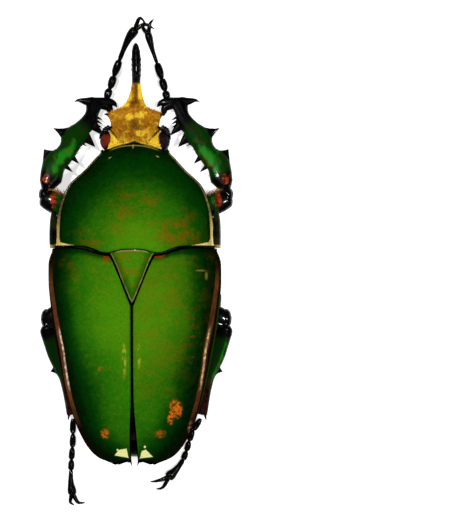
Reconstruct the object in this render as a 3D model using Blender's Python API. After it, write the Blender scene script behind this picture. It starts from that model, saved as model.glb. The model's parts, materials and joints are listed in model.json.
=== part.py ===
"""A male torquata flower beetle lying as a dried, unspread specimen does, with its legs folded.

Sizes are in millimetres and become metres where a mesh is made. +Y runs to the head, +X to the
beetle's right and +Z up from the floor, which the belly and the feet meet at z = 0.
"""

import math

import bmesh
import bpy
from mathutils import Vector

# Scale and clearances
MM = 0.001
GAP = 0.3
SOCKET_GAP = 0.36
SIDES = {"left": -1, "right": 1}

# Pronotum: place along the body, half width, top, side edge and underside
PRONOTUM = (
    (19.5, 5.9, 11.3, 7.5, 6.5),
    (18.6, 6.8, 12.0, 7.6, 6.4),
    (16.3, 8.9, 13.4, 7.7, 6.3),
    (13.1, 12.1, 15.0, 7.9, 6.3),
    (8.6, 13.55, 16.5, 8.1, 6.3),
    (5.5, 13.95, 17.1, 8.2, 6.4),
    (2.6, 14.05, 17.3, 8.3, 6.6),
)
PRONOTUM_ROUNDNESS = 2.15
PRONOTUM_FRONT_BULGE = 1.0
PRONOTUM_FRONT_WIDTH = 4.6
PRONOTUM_LOBE = 1.2
PRONOTUM_LOBE_AT = 4.6
PRONOTUM_LOBE_SPREAD = 2.4
PRONOTUM_MIDDLE = 0.5
PRONOTUM_MIDDLE_SPREAD = 2.6
PRONOTUM_LIP = 0.55
PRONOTUM_END_REACH = 3.0
# Flattened margin of the pronotum: place along the body and width, and how far it rises inwards
PRONOTUM_MARGIN = ((2.6, 0.95), (6.0, 0.95), (9.0, 0.75), (13.1, 0.5), (16.3, 0.42), (19.5, 0.3))
PRONOTUM_MARGIN_RISE = 0.45

# Scutellum, the small triangle between the wing cases
SCUTELLUM_HALF_WIDTH = 3.75
SCUTELLUM_TIP = -7.6
SCUTELLUM_TOP = 17.0
SCUTELLUM_THICKNESS = 1.0
SCUTELLUM_CROWN = 0.3
SCUTELLUM_CURVE = 0.9

# Wing case, right side: inner edge x, y, z, then outer edge x, y, z and the roundness of the arch
ELYTRON = (
    (0.00, 3.9, 0.85, 16.9, 14.4, 2.1, 9.0, 2.4),
    (0.06, 2.2, -2.1, 17.2, 15.25, -0.7, 8.4, 2.4),
    (0.13, 1.1, -4.9, 17.5, 15.3, -3.9, 8.0, 2.6),
    (0.20, 0.15, -8.1, 17.6, 15.0, -7.7, 7.7, 2.7),
    (0.34, 0.15, -13.2, 17.6, 14.3, -13.2, 7.5, 2.7),
    (0.50, 0.15, -19.0, 17.2, 13.2, -19.0, 7.4, 2.7),
    (0.65, 0.2, -24.5, 16.3, 11.95, -24.5, 7.4, 2.6),
    (0.78, 0.45, -29.0, 14.8, 10.5, -29.0, 7.5, 2.5),
    (0.88, 0.6, -32.4, 12.6, 8.8, -32.5, 7.6, 2.4),
    (0.95, 0.66, -34.6, 10.6, 6.7, -34.9, 7.7, 2.2),
    (1.00, 0.65, -35.8, 9.2, 3.4, -36.3, 7.8, 2.1),
)
ELYTRON_ROWS = 24
ELYTRON_COLUMNS = 11
ELYTRON_WALL = 0.5
ELYTRON_FRONT_REACH = 0.2
SHOULDER_BUMP = (11.5, -2.4, 0.35, 2.2)
APICAL_BUMP = (5.6, -29.8, 0.45, 2.2)
SUTURE_SPINE = 0.9

# Underside of the trunk: place along the body, half width, top, side edge, depth below that edge
METASTERNUM = (
    (3.3, 5.0, 5.7, 4.6, 3.4),
    (1.6, 9.4, 5.9, 5.2, 5.6),
    (0.9, 12.2, 6.0, 5.6, 6.6),
    (0.3, 12.9, 13.6, 6.6, 7.6),
    (-1.2, 13.6, 14.6, 7.0, 8.0),
    (-4.0, 13.9, 15.0, 7.0, 8.1),
    (-7.0, 13.6, 15.6, 6.9, 8.0),
    (-9.9, 13.2, 15.9, 6.8, 7.9),
)
ABDOMEN = (
    (-10.2, 13.1, 16.0, 6.8, 7.9),
    (-14.0, 12.7, 16.0, 6.7, 7.8),
    (-19.0, 11.7, 15.6, 6.7, 7.7),
    (-24.5, 10.4, 14.7, 6.7, 7.5),
    (-28.0, 9.1, 13.5, 6.7, 6.9),
    (-30.2, 7.8, 12.2, 6.8, 6.1),
    (-31.6, 6.6, 10.9, 6.9, 5.3),
)
BELLY_SHARPNESS = 1.6
SEGMENT_STEP = 0.25
SEGMENTS = 6
PYGIDIUM_CENTRE = (0.0, -33.3, 4.8)
PYGIDIUM_RADII = (6.0, 1.35, 3.2)
MESOSTERNAL_KNOB = ((0.0, 2.4, 2.6), (0.0, 4.1, 2.5), 1.5, 1.1)

# Head: place along the body, half width, top and underside
HEAD = (
    (19.6, 5.0, 10.6, 5.2),
    (21.0, 5.0, 10.4, 4.7),
    (22.6, 4.7, 10.1, 4.7),
    (24.2, 4.3, 9.8, 5.2),
    (25.3, 4.8, 9.6, 6.1),
    (26.1, 5.4, 9.5, 6.9),
    (26.45, 4.9, 9.5, 7.2),
    (26.8, 3.7, 9.6, 7.4),
    (27.3, 2.4, 9.6, 7.6),
    (27.9, 1.75, 9.65, 7.7),
)
HEAD_ROUNDNESS = 2.6
EYE_CENTRE = (4.85, 21.4, 7.9)
EYE_RADII = (1.4, 1.75, 1.65)
HORN_PATH = ((0.0, 28.3, 8.7), (0.05, 30.0, 9.0), (0.1, 32.0, 9.6), (0.2, 35.0, 11.0), (0.3, 38.2, 12.9))
HORN_SECTIONS = ((0.0, 1.6, 0.95), (0.18, 1.1, 0.9), (0.4, 0.76, 0.85), (0.8, 0.76, 0.75), (1.0, 0.42, 0.5))
HORN_TEETH = ((34.6, 0.32), (36.6, 0.3))

# Coxae, the hips that the legs turn in: centre and radii, right side
COXAE = {
    "front": ((3.5, 7.4, 3.6), (2.0, 2.0, 2.3)),
    "mid": ((3.9, -1.3, 2.2), (2.0, 1.7, 1.7)),
    "hind": ((4.3, -11.0, 2.4), (2.5, 1.9, 1.8)),
}

# Femora, right side: path, then half width and half thickness along it
FEMORA = {
    "front": (((5.0, 7.2, 3.7), (9.0, 7.9, 4.1), (13.0, 9.9, 4.5), (16.45, 12.2, 4.6)),
              ((0.0, 1.2, 1.1), (0.35, 1.85, 1.35), (0.8, 2.0, 1.35), (1.0, 1.6, 1.1))),
    "mid": (((5.2, -1.7, 2.3), (9.0, -2.6, 2.9), (12.0, -3.6, 3.4), (14.3, -4.8, 3.6)),
            ((0.0, 1.0, 0.9), (0.4, 1.5, 1.05), (0.8, 1.5, 1.05), (1.0, 1.1, 0.9))),
    "hind": (((6.2, -10.8, 2.9), (9.5, -9.9, 3.7), (13.2, -9.8, 4.2), (16.7, -11.1, 4.2)),
             ((0.0, 1.2, 1.0), (0.4, 1.85, 1.2), (0.8, 1.95, 1.2), (1.0, 1.45, 1.0))),
}

# Tibiae, right side: path, then half width and half thickness along it
TIBIAE = {
    "front": (((16.4, 13.1, 4.6), (14.65, 16.9, 4.1), (12.7, 19.9, 3.5), (10.9, 22.9, 2.8), (8.2, 26.4, 1.9),
               (6.6, 29.1, 1.4)),
              ((0.0, 1.4, 1.1), (0.14, 1.95, 1.15), (0.25, 2.05, 1.05), (0.4, 1.8, 0.95), (0.58, 1.85, 0.85),
               (0.7, 1.45, 0.75), (0.83, 0.95, 0.65), (0.95, 1.8, 0.6), (1.0, 1.5, 0.5))),
    "mid": (((14.5, -5.7, 3.3), (14.3, -8.0, 2.1), (13.4, -11.5, 1.4), (12.2, -14.8, 1.1),
             (11.0, -17.8, 1.0)),
            ((0.0, 0.95, 0.8), (0.3, 1.1, 0.75), (0.7, 1.0, 0.65), (1.0, 1.25, 0.6))),
    "hind": (((16.6, -12.4, 4.0), (15.6, -14.6, 3.7), (14.4, -17.5, 3.3), (13.2, -21.2, 2.7),
              (12.4, -24.4, 2.2), (11.7, -28.0, 1.6)),
             ((0.0, 1.1, 0.95), (0.2, 1.3, 0.9), (0.5, 1.25, 0.8), (0.62, 0.95, 0.75), (1.0, 1.1, 0.65))),
}

# Teeth of the tibiae: share of the length and reach across from the midline (outer side positive) of
# the tip, and width at the root
TIBIA_TEETH = {
    "front": ((0.342, 3.87, 2.4), (0.566, 4.39, 2.4), (0.281, -2.35, 1.0), (0.397, -2.85, 1.2),
              (0.585, -3.5, 1.4), (0.732, -3.6, 1.2), (0.81, -2.6, 0.9)),
    "mid": ((0.42, 2.2, 1.1),),
    "hind": ((0.49, 1.75, 1.3),),
}
TOOTH_THICKNESS = 0.75
# How a tooth tapers: share of its length and of its size
SPIKE_SECTIONS = ((0.0, 1.0), (0.5, 0.62), (0.93, 0.2))
# Spurs at the end of the tibiae: reach across from the midline, and shift of the tip along the limb
TIBIA_SPURS = {"front": (), "mid": ((1.9, 1.2), (-1.9, 1.4)), "hind": ((1.25, 1.5), (-1.7, 1.8))}
SPUR_WIDTH = 0.9
SPUR_ROOT = 0.97
# Crossways end plate of the front tibia, drawn out to a hook at both ends
TIBIA_PLATE = ((11.25, 29.2, 1.5), (9.6, 29.25, 1.48), (7.4, 29.25, 1.43), (5.2, 29.17, 1.38),
               (3.75, 28.3, 1.3))
TIBIA_PLATE_SECTIONS = ((0.0, 0.12, 0.12), (0.2, 0.42, 0.35), (0.45, 0.62, 0.45), (0.75, 0.6, 0.42),
                        (1.0, 0.12, 0.12))

# Tarsi, each side: path to the root of the claws, joints as shares of the path, tips of the claws
TARSI = {
    ("front", "left"): (((-5.8, 30.4, 1.3), (-4.7, 32.9, 1.2), (-3.6, 35.7, 1.4), (-1.6, 40.4, 2.3),
                         (-0.2, 42.3, 2.7)),
                        (0.11, 0.22, 0.33, 0.44), ((0.9, 44.1, 3.0), (3.1, 42.4, 2.6))),
    ("front", "right"): (((5.7, 30.4, 1.2), (4.85, 32.1, 0.9), (4.1, 34.1, 0.7), (2.6, 39.2, 0.5),
                          (1.8, 42.2, 0.5)),
                         (0.11, 0.22, 0.34, 0.47), ((2.9, 44.4, 0.4), (0.6, 43.8, 0.4))),
    ("mid", "left"): (((-10.85, -18.5, 0.8), (-10.2, -21.0, 0.6), (-9.3, -24.0, 0.5), (-8.6, -27.0, 0.5),
                       (-8.2, -29.6, 0.5)),
                      (0.16, 0.33, 0.48, 0.62), ((-8.9, -31.4, 0.4), (-7.0, -31.2, 0.4))),
    ("mid", "right"): (((10.85, -18.5, 0.8), (10.3, -21.0, 0.6), (9.4, -24.0, 0.5), (8.5, -26.9, 0.5),
                        (8.1, -29.5, 0.5)),
                       (0.16, 0.33, 0.48, 0.62), ((8.8, -31.3, 0.4), (6.9, -31.1, 0.4))),
    ("hind", "left"): (((-11.75, -28.9, 1.3), (-11.8, -32.3, 0.8), (-12.1, -37.0, 0.5), (-12.2, -40.2, 0.5),
                        (-11.9, -42.9, 0.5)),
                       (0.22, 0.4, 0.56, 0.7), ((-11.5, -44.9, 0.4), (-9.5, -44.4, 0.4))),
    ("hind", "right"): (((11.65, -28.9, 1.3), (10.1, -31.4, 0.9), (8.5, -36.2, 0.55), (7.1, -38.3, 0.5),
                         (5.3, -40.3, 0.5)),
                        (0.2, 0.4, 0.57, 0.72), ((4.2, -41.6, 0.4), (2.3, -40.6, 0.4))),
}
# Share along a joint and radius there, for the first four joints and for the last
TARSUS_JOINT = ((0.04, 0.36), (0.5, 0.5), (0.88, 0.63))
TARSUS_LAST_JOINT = ((0.04, 0.36), (0.5, 0.52), (0.85, 0.76))
TARSUS_FLATNESS = 0.85
CLAW_SECTIONS = ((0.0, 0.34, 0.34), (0.6, 0.27, 0.27), (1.0, 0.08, 0.08))

# Small parts of the head and trunk
ANTENNA_STALK = ((4.7, 24.0, 6.2), (5.6, 23.6, 5.7), (5.9, 22.4, 5.2), (5.6, 21.0, 4.9))
ANTENNA_STALK_SECTIONS = ((0.0, 0.3, 0.3), (0.4, 0.45, 0.45), (0.6, 0.28, 0.28), (1.0, 0.35, 0.35))
LAMELLAE = 3
LAMELLA_LENGTH = 3.0
LAMELLA_SPREAD = 0.35
LAMELLA_SECTIONS = ((0, 0.25, 0.3), (0.5, 0.27, 0.55), (1, 0.2, 0.35))
MENTUM = ((20.4, 2.4, 3.9, 3.0), (22.0, 2.8, 4.1, 2.9), (23.6, 2.3, 4.5, 3.6), (24.6, 1.3, 5.1, 4.5))
PALP_PATH = ((1.6, 23.2, 3.7), (2.7, 24.4, 3.9), (3.4, 24.1, 3.7))
PROSTERNUM = ((18.7, 3.9, 5.9, 4.2), (15.0, 5.2, 5.9, 3.3), (11.0, 5.8, 5.9, 2.9), (7.0, 5.6, 6.0, 2.9),
              (4.4, 4.6, 6.1, 3.4))
# Shoulder plate: place along the body, middle, half thickness, top and underside
MESEPIMERON = ((8.9, 14.74, 0.22, 8.0, 6.9), (7.0, 14.84, 0.42, 8.9, 5.6), (4.5, 14.87, 0.48, 9.4, 4.8),
               (3.2, 14.87, 0.46, 9.3, 4.6), (2.3, 14.95, 0.36, 8.5, 4.4))

# Colours (linear) with roughness and metallic value
FINISHES = {
    "green_velvet": ((0.02, 0.14, 0.002), 0.5, 0.0),
    "green_gloss": ((0.03, 0.2, 0.004), 0.35, 0.1),
    "gold_down": ((0.45, 0.2, 0.02), 0.8, 0.0),
    "black_chitin": ((0.01, 0.012, 0.008), 0.2, 0.0),
    "leg_chitin": ((0.01, 0.04, 0.006), 0.22, 0.1),
    "red_brown": ((0.09, 0.02, 0.008), 0.3, 0.0),
    "eye_brown": ((0.12, 0.03, 0.008), 0.15, 0.0),
    "olive_chitin": ((0.03, 0.035, 0.008), 0.35, 0.0),
}


def finish(name):
    """Makes or finds the material of one kind of surface."""
    if name in bpy.data.materials:
        return bpy.data.materials[name]
    colour, roughness, metallic = FINISHES[name]
    material = bpy.data.materials.new(name)
    material.use_nodes = True
    shader = material.node_tree.nodes["Principled BSDF"]
    shader.inputs["Base Color"].default_value = (*colour, 1.0)
    shader.inputs["Roughness"].default_value = roughness
    shader.inputs["Metallic"].default_value = metallic
    return material


def read_between(table, at):
    """Reads the columns of a table at a place between its rows, along a smooth curve."""
    rows = sorted(table)
    at = min(max(at, rows[0][0]), rows[-1][0])
    row = max(i for i in range(len(rows) - 1) if rows[i][0] <= at)
    step = rows[row + 1][0] - rows[row][0]
    t = (at - rows[row][0]) / step

    def rise_over(i, column):
        return (rows[i + 1][column] - rows[i][column]) / (rows[i + 1][0] - rows[i][0])

    def slope(i, column):
        before = rise_over(max(i - 1, 0), column)
        after = rise_over(min(i, len(rows) - 2), column)
        return 2 * before * after / (before + after) if before * after > 0 else 0.0

    values = []
    for column in range(1, len(rows[0])):
        start, end = rows[row][column], rows[row + 1][column]
        rise = (2 * t**3 - 3 * t**2 + 1) * start + (3 * t**2 - 2 * t**3) * end
        bend = (t**3 - 2 * t**2 + t) * slope(row, column) + (t**3 - t**2) * slope(row + 1, column)
        values.append(rise + bend * step)
    return values


def smooth_path(points):
    """Gives a function from 0 to 1 along a smooth curve through the points."""
    lengths = [0.0]
    for start, end in zip(points, points[1:]):
        lengths.append(lengths[-1] + (Vector(end) - Vector(start)).length)
    table = [(length / lengths[-1], *point) for length, point in zip(lengths, points)]
    return lambda share: Vector(read_between(table, share))


def arch(angle, power):
    """Sine and cosine of a superellipse, for an arch flatter than a round one."""
    across, up = math.sin(angle), math.cos(angle)
    return math.copysign(abs(across) ** (2 / power), across), abs(up) ** (2 / power)


def add_object(name, points, faces, material):
    """Adds one mesh object, in metres, with its faces turned outwards and shaded smooth."""
    mesh = bpy.data.meshes.new(name)
    mesh.from_pydata([Vector(point) * MM for point in points], [], faces)
    shape = bmesh.new()
    shape.from_mesh(mesh)
    bmesh.ops.triangulate(shape, faces=[face for face in shape.faces if len(face.verts) > 4])
    bmesh.ops.recalc_face_normals(shape, faces=shape.faces)
    if shape.calc_volume(signed=True) < 0:
        bmesh.ops.reverse_faces(shape, faces=shape.faces)
    shape.to_mesh(mesh)
    shape.free()
    mesh.shade_smooth()
    mesh.materials.append(finish(material))
    body = bpy.data.objects.new(name, mesh)
    bpy.context.scene.collection.objects.link(body)
    return body


def loft(name, rings, material, first_pole=None, last_pole=None):
    """Joins rings of equal length into one closed body, with a point at the middle of each end."""
    size = len(rings[0])
    points = [Vector(point) for ring in rings for point in ring]
    points.append(Vector(first_pole) if first_pole else sum(map(Vector, rings[0]), Vector()) / size)
    points.append(Vector(last_pole) if last_pole else sum(map(Vector, rings[-1]), Vector()) / size)
    first, last = len(points) - 2, len(points) - 1
    faces = []
    for ring in range(len(rings) - 1):
        for i in range(size):
            a, b = ring * size + i, ring * size + (i + 1) % size
            faces.append((a, b, b + size, a + size))
    for i in range(size):
        faces.append((first, (i + 1) % size, i))
        faces.append((last, last - 1 - size + i, last - 1 - size + (i + 1) % size))
    return add_object(name, points, faces, material)


def limb(name, path, sections, material, sides=8, rings=8, shares=None, root_bulge=0.5):
    """Sweeps an oval along a smooth path. Its width lies level, and both its ends are rounded."""
    place = smooth_path(path)
    shares = shares or [i / (rings - 1) for i in range(rings)]
    loops = []
    for share in shares:
        heading = (place(min(share + 0.01, 1)) - place(max(share - 0.01, 0))).normalized()
        level = heading.cross(Vector((0, 0, 1))).normalized()
        upright = level.cross(heading)
        width, thickness = read_between(sections, share)
        loops.append([place(share) + level * width * math.cos(turn) + upright * thickness * math.sin(turn)
                      for turn in (2 * math.pi * i / sides for i in range(sides))])
    start, end = place(0), place(1)
    bulge_start = (start - place(0.01)).normalized() * read_between(sections, 0)[1] * root_bulge
    bulge_end = (end - place(0.99)).normalized() * read_between(sections, 1)[1] * 0.5
    return loft(name, loops, material, start + bulge_start, end + bulge_end)


def spike(root, tip, width, thickness, material, sides=6):
    """A tapered tooth from its sunk root to its tip, flattened level."""
    root, tip = Vector(root), Vector(tip)
    heading = (tip - root).normalized()
    level = heading.cross(Vector((0, 0, 1))).normalized()
    upright = level.cross(heading)
    turns = [2 * math.pi * i / sides for i in range(sides)]
    ring = [level * width / 2 * math.cos(turn) + upright * thickness / 2 * math.sin(turn) for turn in turns]
    loops = []
    for share, size in SPIKE_SECTIONS:
        centre = root.lerp(tip, share)
        loops.append([centre + offset * size for offset in ring])
    return loft("tooth", loops, material, root, tip)


def ellipsoid(name, centre, radii, material, sides=12, rings=7):
    """A ball with three radii."""
    loops = []
    for ring in range(1, rings):
        tilt = math.pi * ring / rings
        loops.append([(centre[0] + radii[0] * math.sin(tilt) * math.cos(turn),
                       centre[1] + radii[1] * math.sin(tilt) * math.sin(turn),
                       centre[2] - radii[2] * math.cos(tilt))
                      for turn in (2 * math.pi * i / sides for i in range(sides))])
    low = (centre[0], centre[1], centre[2] - radii[2])
    high = (centre[0], centre[1], centre[2] + radii[2])
    return loft(name, loops, material, low, high)


def apply_boolean(body, operation, others):
    """Joins or cuts with a collection of closed bodies, which are then removed."""
    group = bpy.data.collections.new("tools")
    bpy.context.scene.collection.children.link(group)
    for other in others:
        group.objects.link(other)
        other.hide_render = True
        other.display_type = "WIRE"
    modifier = body.modifiers.new(operation.lower(), "BOOLEAN")
    modifier.operation = operation
    modifier.operand_type = "COLLECTION"
    modifier.collection = group
    modifier.solver = "EXACT"
    with bpy.context.temp_override(object=body, active_object=body):
        bpy.ops.object.modifier_apply(modifier=modifier.name)
    for other in others:
        bpy.data.objects.remove(other)
    bpy.data.collections.remove(group)
    keep_largest_shell(body)


def keep_largest_shell(body):
    """Drops all but the closed surface that spans the most."""
    shape = bmesh.new()
    shape.from_mesh(body.data)
    unseen, shells = set(shape.faces), []
    while unseen:
        front = [unseen.pop()]
        shell = list(front)
        while front:
            near = {face for edge in front.pop().edges for face in edge.link_faces} & unseen
            unseen -= near
            front.extend(near)
            shell.extend(near)
        shells.append(shell)
    shells.sort(key=lambda shell: sum(face.calc_area() for face in shell))
    for shell in shells[:-1]:
        bmesh.ops.delete(shape, geom=shell, context="FACES")
    shape.to_mesh(body.data)
    shape.free()


def set_on_floor(body):
    """Flattens what would pass below the floor."""
    for vertex in body.data.vertices:
        vertex.co.z = max(vertex.co.z, 0.0)


def mirrored(point, side):
    """Places a right-hand point on the given side."""
    return (point[0] * side, *point[1:])


def pronotum_front(x):
    """Shift of the front edge, which bulges over the neck."""
    return PRONOTUM_FRONT_BULGE * max(0.0, 1 - (x / PRONOTUM_FRONT_WIDTH) ** 2)


def pronotum_rear(x):
    """Shift of the rear edge: a lobe on each side of a shallow arch above the scutellum."""
    lobe = PRONOTUM_LOBE * math.exp(-(((abs(x) - PRONOTUM_LOBE_AT) / PRONOTUM_LOBE_SPREAD) ** 2))
    return -lobe - PRONOTUM_MIDDLE * math.exp(-((x / PRONOTUM_MIDDLE_SPREAD) ** 2))


def rear_edge(x):
    """Place along the body of the pronotum's rear edge."""
    return PRONOTUM[-1][0] + pronotum_rear(x)


def make_pronotum():
    """A domed shield with a flattened margin, its underside hollowed towards the sides."""
    front, rear = PRONOTUM[0][0], PRONOTUM[-1][0]
    rings, top_points, low_points, steps = [], 23, 10, 16
    for i in range(steps + 1):
        y = front + (rear - front) * i / steps
        width, top, edge, low = read_between(PRONOTUM, y)
        ahead = max(0.0, 1 - (front - y) / PRONOTUM_END_REACH)
        behind = max(0.0, 1 - (y - rear) / PRONOTUM_END_REACH)
        margin, = read_between(PRONOTUM_MARGIN, y)
        base = edge + PRONOTUM_MARGIN_RISE
        ring = [(-width, edge)]
        for j in range(top_points):
            across, up = arch(math.pi * (j / (top_points - 1) - 0.5), PRONOTUM_ROUNDNESS)
            ring.append(((width - margin) * across, base + (top - base) * up))
        ring.append((width, edge))
        for j in range(1, low_points):
            share = 1 - 2 * j / low_points
            ring.append(((width - PRONOTUM_LIP) * share, low + (edge - low) * 0.6 * share**4))
        rings.append([(x, y + ahead * pronotum_front(x) + behind * pronotum_rear(x), z) for x, z in ring])
    middle = (PRONOTUM[-1][2] + PRONOTUM[-1][4]) / 2
    return loft("pronotum", rings, "green_velvet", (0, front - 0.4, 9.0), (0, rear + 0.5, middle))


def scutellum_half_width(y):
    """Half width of the scutellum at a place along the body."""
    front = rear_edge(SCUTELLUM_HALF_WIDTH) - GAP
    share = min(max((front - y) / (front - SCUTELLUM_TIP), 0.0), 1.0)
    return SCUTELLUM_HALF_WIDTH * (1 - share**SCUTELLUM_CURVE)


def make_scutellum():
    """A three-cornered plate with bowed sides, its front edge following the pronotum's."""
    outline, steps = [], 7
    front = rear_edge(SCUTELLUM_HALF_WIDTH) - GAP
    for j in range(5):
        x = SCUTELLUM_HALF_WIDTH * (1 - j / 2)
        outline.append((x, rear_edge(x) - GAP))
    for side in (-1, 1):
        shares = [j / steps for j in range(1, steps)]
        for share in shares if side < 0 else reversed(shares):
            y = front + (SCUTELLUM_TIP - front) * share
            outline.append((side * scutellum_half_width(y), y))
        if side < 0:
            outline.append((0.0, SCUTELLUM_TIP))
    middle = (0.0, front - 2.4)

    def level(scale, z):
        return [(middle[0] + (x - middle[0]) * scale, middle[1] + (y - middle[1]) * scale, z)
                for x, y in outline]

    low, crown = SCUTELLUM_TOP - SCUTELLUM_THICKNESS, SCUTELLUM_TOP + SCUTELLUM_CROWN
    rings = [level(0.9, low), level(1.0, SCUTELLUM_TOP - 0.25), level(0.93, SCUTELLUM_TOP)]
    return loft("scutellum", rings, "green_gloss", (*middle, low), (*middle, crown))


def elytron_point(share, turn):
    """A point of the right wing case: share runs to its rear end, turn from its inner to outer edge."""
    x0, y0, z0, x1, y1, z1, power = read_between(ELYTRON, share)
    if y0 > SCUTELLUM_TIP:
        x0 = max(x0, scutellum_half_width(y0) + GAP)
    across, up = arch(math.pi / 2 * turn, power)
    point = Vector((x0 + (x1 - x0) * across, y0 + (y1 - y0) * across, z1 + (z0 - z1) * up))
    if share < ELYTRON_FRONT_REACH:
        _, front_x0, front_y0, _, front_x1, front_y1, _, _ = ELYTRON[0]
        front_x = front_x0 + (front_x1 - front_x0) * across
        front_y = front_y0 + (front_y1 - front_y0) * across
        gap = rear_edge(front_x) - GAP - front_y
        point.y += gap * (1 - share / ELYTRON_FRONT_REACH) * math.sin(math.pi * turn) ** 0.7
    for x, y, height, spread in (SHOULDER_BUMP, APICAL_BUMP):
        reach = ((point.x - x) ** 2 + (point.y - y) ** 2) / spread**2
        point.z += height * math.exp(-reach)
    return point


def make_elytron(word, side):
    """A thin arched shell, its two faces split alike, with a small spine where the pair meet behind."""
    outer, inner = [], []
    step = 0.004
    for i in range(ELYTRON_ROWS + 1):
        share = i / ELYTRON_ROWS
        for j in range(ELYTRON_COLUMNS + 1):
            turn = j / ELYTRON_COLUMNS
            point = elytron_point(share, turn)
            along = elytron_point(min(share + step, 1), turn) - elytron_point(max(share - step, 0), turn)
            over = elytron_point(share, min(turn + step, 1)) - elytron_point(share, max(turn - step, 0))
            inward = over.cross(along).normalized()
            if inward.z > 0:
                inward = -inward
            outer.append(point)
            inner.append(point + inward * ELYTRON_WALL)
    wide, deep = ELYTRON_COLUMNS + 1, len(outer)
    faces = []
    for i in range(ELYTRON_ROWS):
        for j in range(ELYTRON_COLUMNS):
            a, b, c, d = i * wide + j, i * wide + j + 1, (i + 1) * wide + j + 1, (i + 1) * wide + j
            faces += [(a, b, c), (a, c, d), (a + deep, c + deep, b + deep), (a + deep, d + deep, c + deep)]
    rim = [j for j in range(wide)]
    rim += [i * wide + wide - 1 for i in range(1, ELYTRON_ROWS + 1)]
    rim += [ELYTRON_ROWS * wide + j for j in reversed(range(wide - 1))]
    rim += [i * wide for i in reversed(range(1, ELYTRON_ROWS))]
    for a, b in zip(rim, rim[1:] + rim[:1]):
        faces.append((a, a + deep, b + deep, b))
    points = [mirrored(point, side) for point in outer + inner]
    body = add_object(f"elytron_{word}", points, faces, "green_gloss")
    corner = elytron_point(1.0, 0.0)
    root = mirrored((corner.x + 0.25, corner.y + 0.7, corner.z - 0.35), side)
    tip = mirrored((corner.x - 0.2, corner.y - SUTURE_SPINE, corner.z - 0.5), side)
    apply_boolean(body, "UNION", [spike(root, tip, 0.55, 0.5, "green_gloss")])
    return body


def trunk_rings(table, steps, grooves=0):
    """Sections of the trunk: an arched top under the wing cases, and a belly with a flat keel."""
    first, last = table[0][0], table[-1][0]
    rings, top_points, low_points = [], 9, 12
    for i in range(steps):
        y = first + (last - first) * i / (steps - 1)
        width, top, edge, depth = read_between(table, y)
        if grooves:
            phase = (i / (steps - 1) * grooves) % 1
            depth -= SEGMENT_STEP * phase
            width -= SEGMENT_STEP * phase
        ring = []
        for j in range(top_points):
            across, up = arch(math.pi * (j / (top_points - 1) - 0.5), 2.6)
            ring.append((width * across, y, edge + (top - edge) * up))
        for j in range(1, low_points):
            share = 1 - 2 * j / low_points
            ring.append((width * share, y, max(0.0, edge - depth * (1 - abs(share) ** BELLY_SHARPNESS))))
        rings.append(ring)
    return rings


def make_trunk():
    """The breast plates, the belly and the rear plate. Gives the bodies that each pair of legs beds in."""
    metasternum = loft("metasternum", trunk_rings(METASTERNUM, 13), "olive_chitin")
    root, tip, width, thickness = MESOSTERNAL_KNOB
    knob_sections = ((0, width, thickness), (1, width * 0.7, thickness * 0.8))
    knob = limb("knob", (root, tip), knob_sections, "olive_chitin", sides=8, rings=4)
    apply_boolean(metasternum, "UNION", [knob])
    abdomen = loft("abdomen", trunk_rings(ABDOMEN, 2 * SEGMENTS + 1, SEGMENTS), "olive_chitin")
    rings = [oval_ring(width, y, top, low, 2.6) for y, width, top, low in PROSTERNUM]
    prosternum = loft("prosternum", rings, "olive_chitin")
    ellipsoid("pygidium", PYGIDIUM_CENTRE, PYGIDIUM_RADII, "green_gloss")
    return {"front": (prosternum,), "mid": (metasternum,), "hind": (metasternum, abdomen)}


def make_mesepimeron(word, side):
    """The upright plate that shows between the pronotum and the shoulder."""
    rings = []
    for y, centre, half, top, low in MESEPIMERON:
        rings.append([(side * (centre + half * math.cos(turn)), y,
                       (top + low) / 2 + (top - low) / 2 * math.sin(turn))
                      for turn in (2 * math.pi * i / 8 for i in range(8))])
    return loft(f"mesepimeron_{word}", rings, "olive_chitin")


def oval_ring(width, y, top, low, power, count=16):
    """A ring across the body, a flattened superellipse between its top and its underside."""
    ring = []
    for j in range(count):
        turn = 2 * math.pi * j / count
        across, up = math.sin(turn), math.cos(turn)
        across = math.copysign(abs(across) ** (2 / power), across)
        up = math.copysign(abs(up) ** (2 / power), up)
        ring.append((width * across, y, (top + low) / 2 + (top - low) / 2 * up))
    return ring


def make_head():
    """The head with a pocket for each eye, its front drawn out to two points."""
    rings = []
    first, last = HEAD[0][0], HEAD[-1][0]
    places = [first + (last - first) * (1 - (1 - i / 12) ** 1.35) for i in range(13)]
    for y in places:
        width, top, low = read_between(HEAD, y)
        ring = oval_ring(width, y, top, low, HEAD_ROUNDNESS)
        back = max(0.0, 1 - (y - first) / 2.5)
        rings.append([(x, y + back * (pronotum_front(x) + GAP), z) for x, _, z in ring])
    head = loft("head", rings, "gold_down")
    pockets = [ellipsoid("pocket", mirrored(EYE_CENTRE, side), [r + GAP for r in EYE_RADII], "gold_down")
               for side in SIDES.values()]
    apply_boolean(head, "DIFFERENCE", pockets)
    for word, side in SIDES.items():
        ellipsoid(f"eye_{word}", mirrored(EYE_CENTRE, side), EYE_RADII, "eye_brown")
    return head


def make_horn():
    """The clypeal horn, widest at its root, with a pair of small teeth near its tip."""
    horn = limb("horn", HORN_PATH, HORN_SECTIONS, "black_chitin", sides=10, rings=9, root_bulge=0.0)
    place = smooth_path(HORN_PATH)
    teeth = []
    first, last = HORN_PATH[0][1], HORN_PATH[-1][1]
    for y, reach in HORN_TEETH:
        centre = place((y - first) / (last - first))
        for side in SIDES.values():
            tip = centre + Vector((side * (0.76 + reach), -0.2, 0))
            teeth.append(spike(centre, tip, 0.9, 0.6, "black_chitin"))
    apply_boolean(horn, "UNION", teeth)
    return horn


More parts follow.
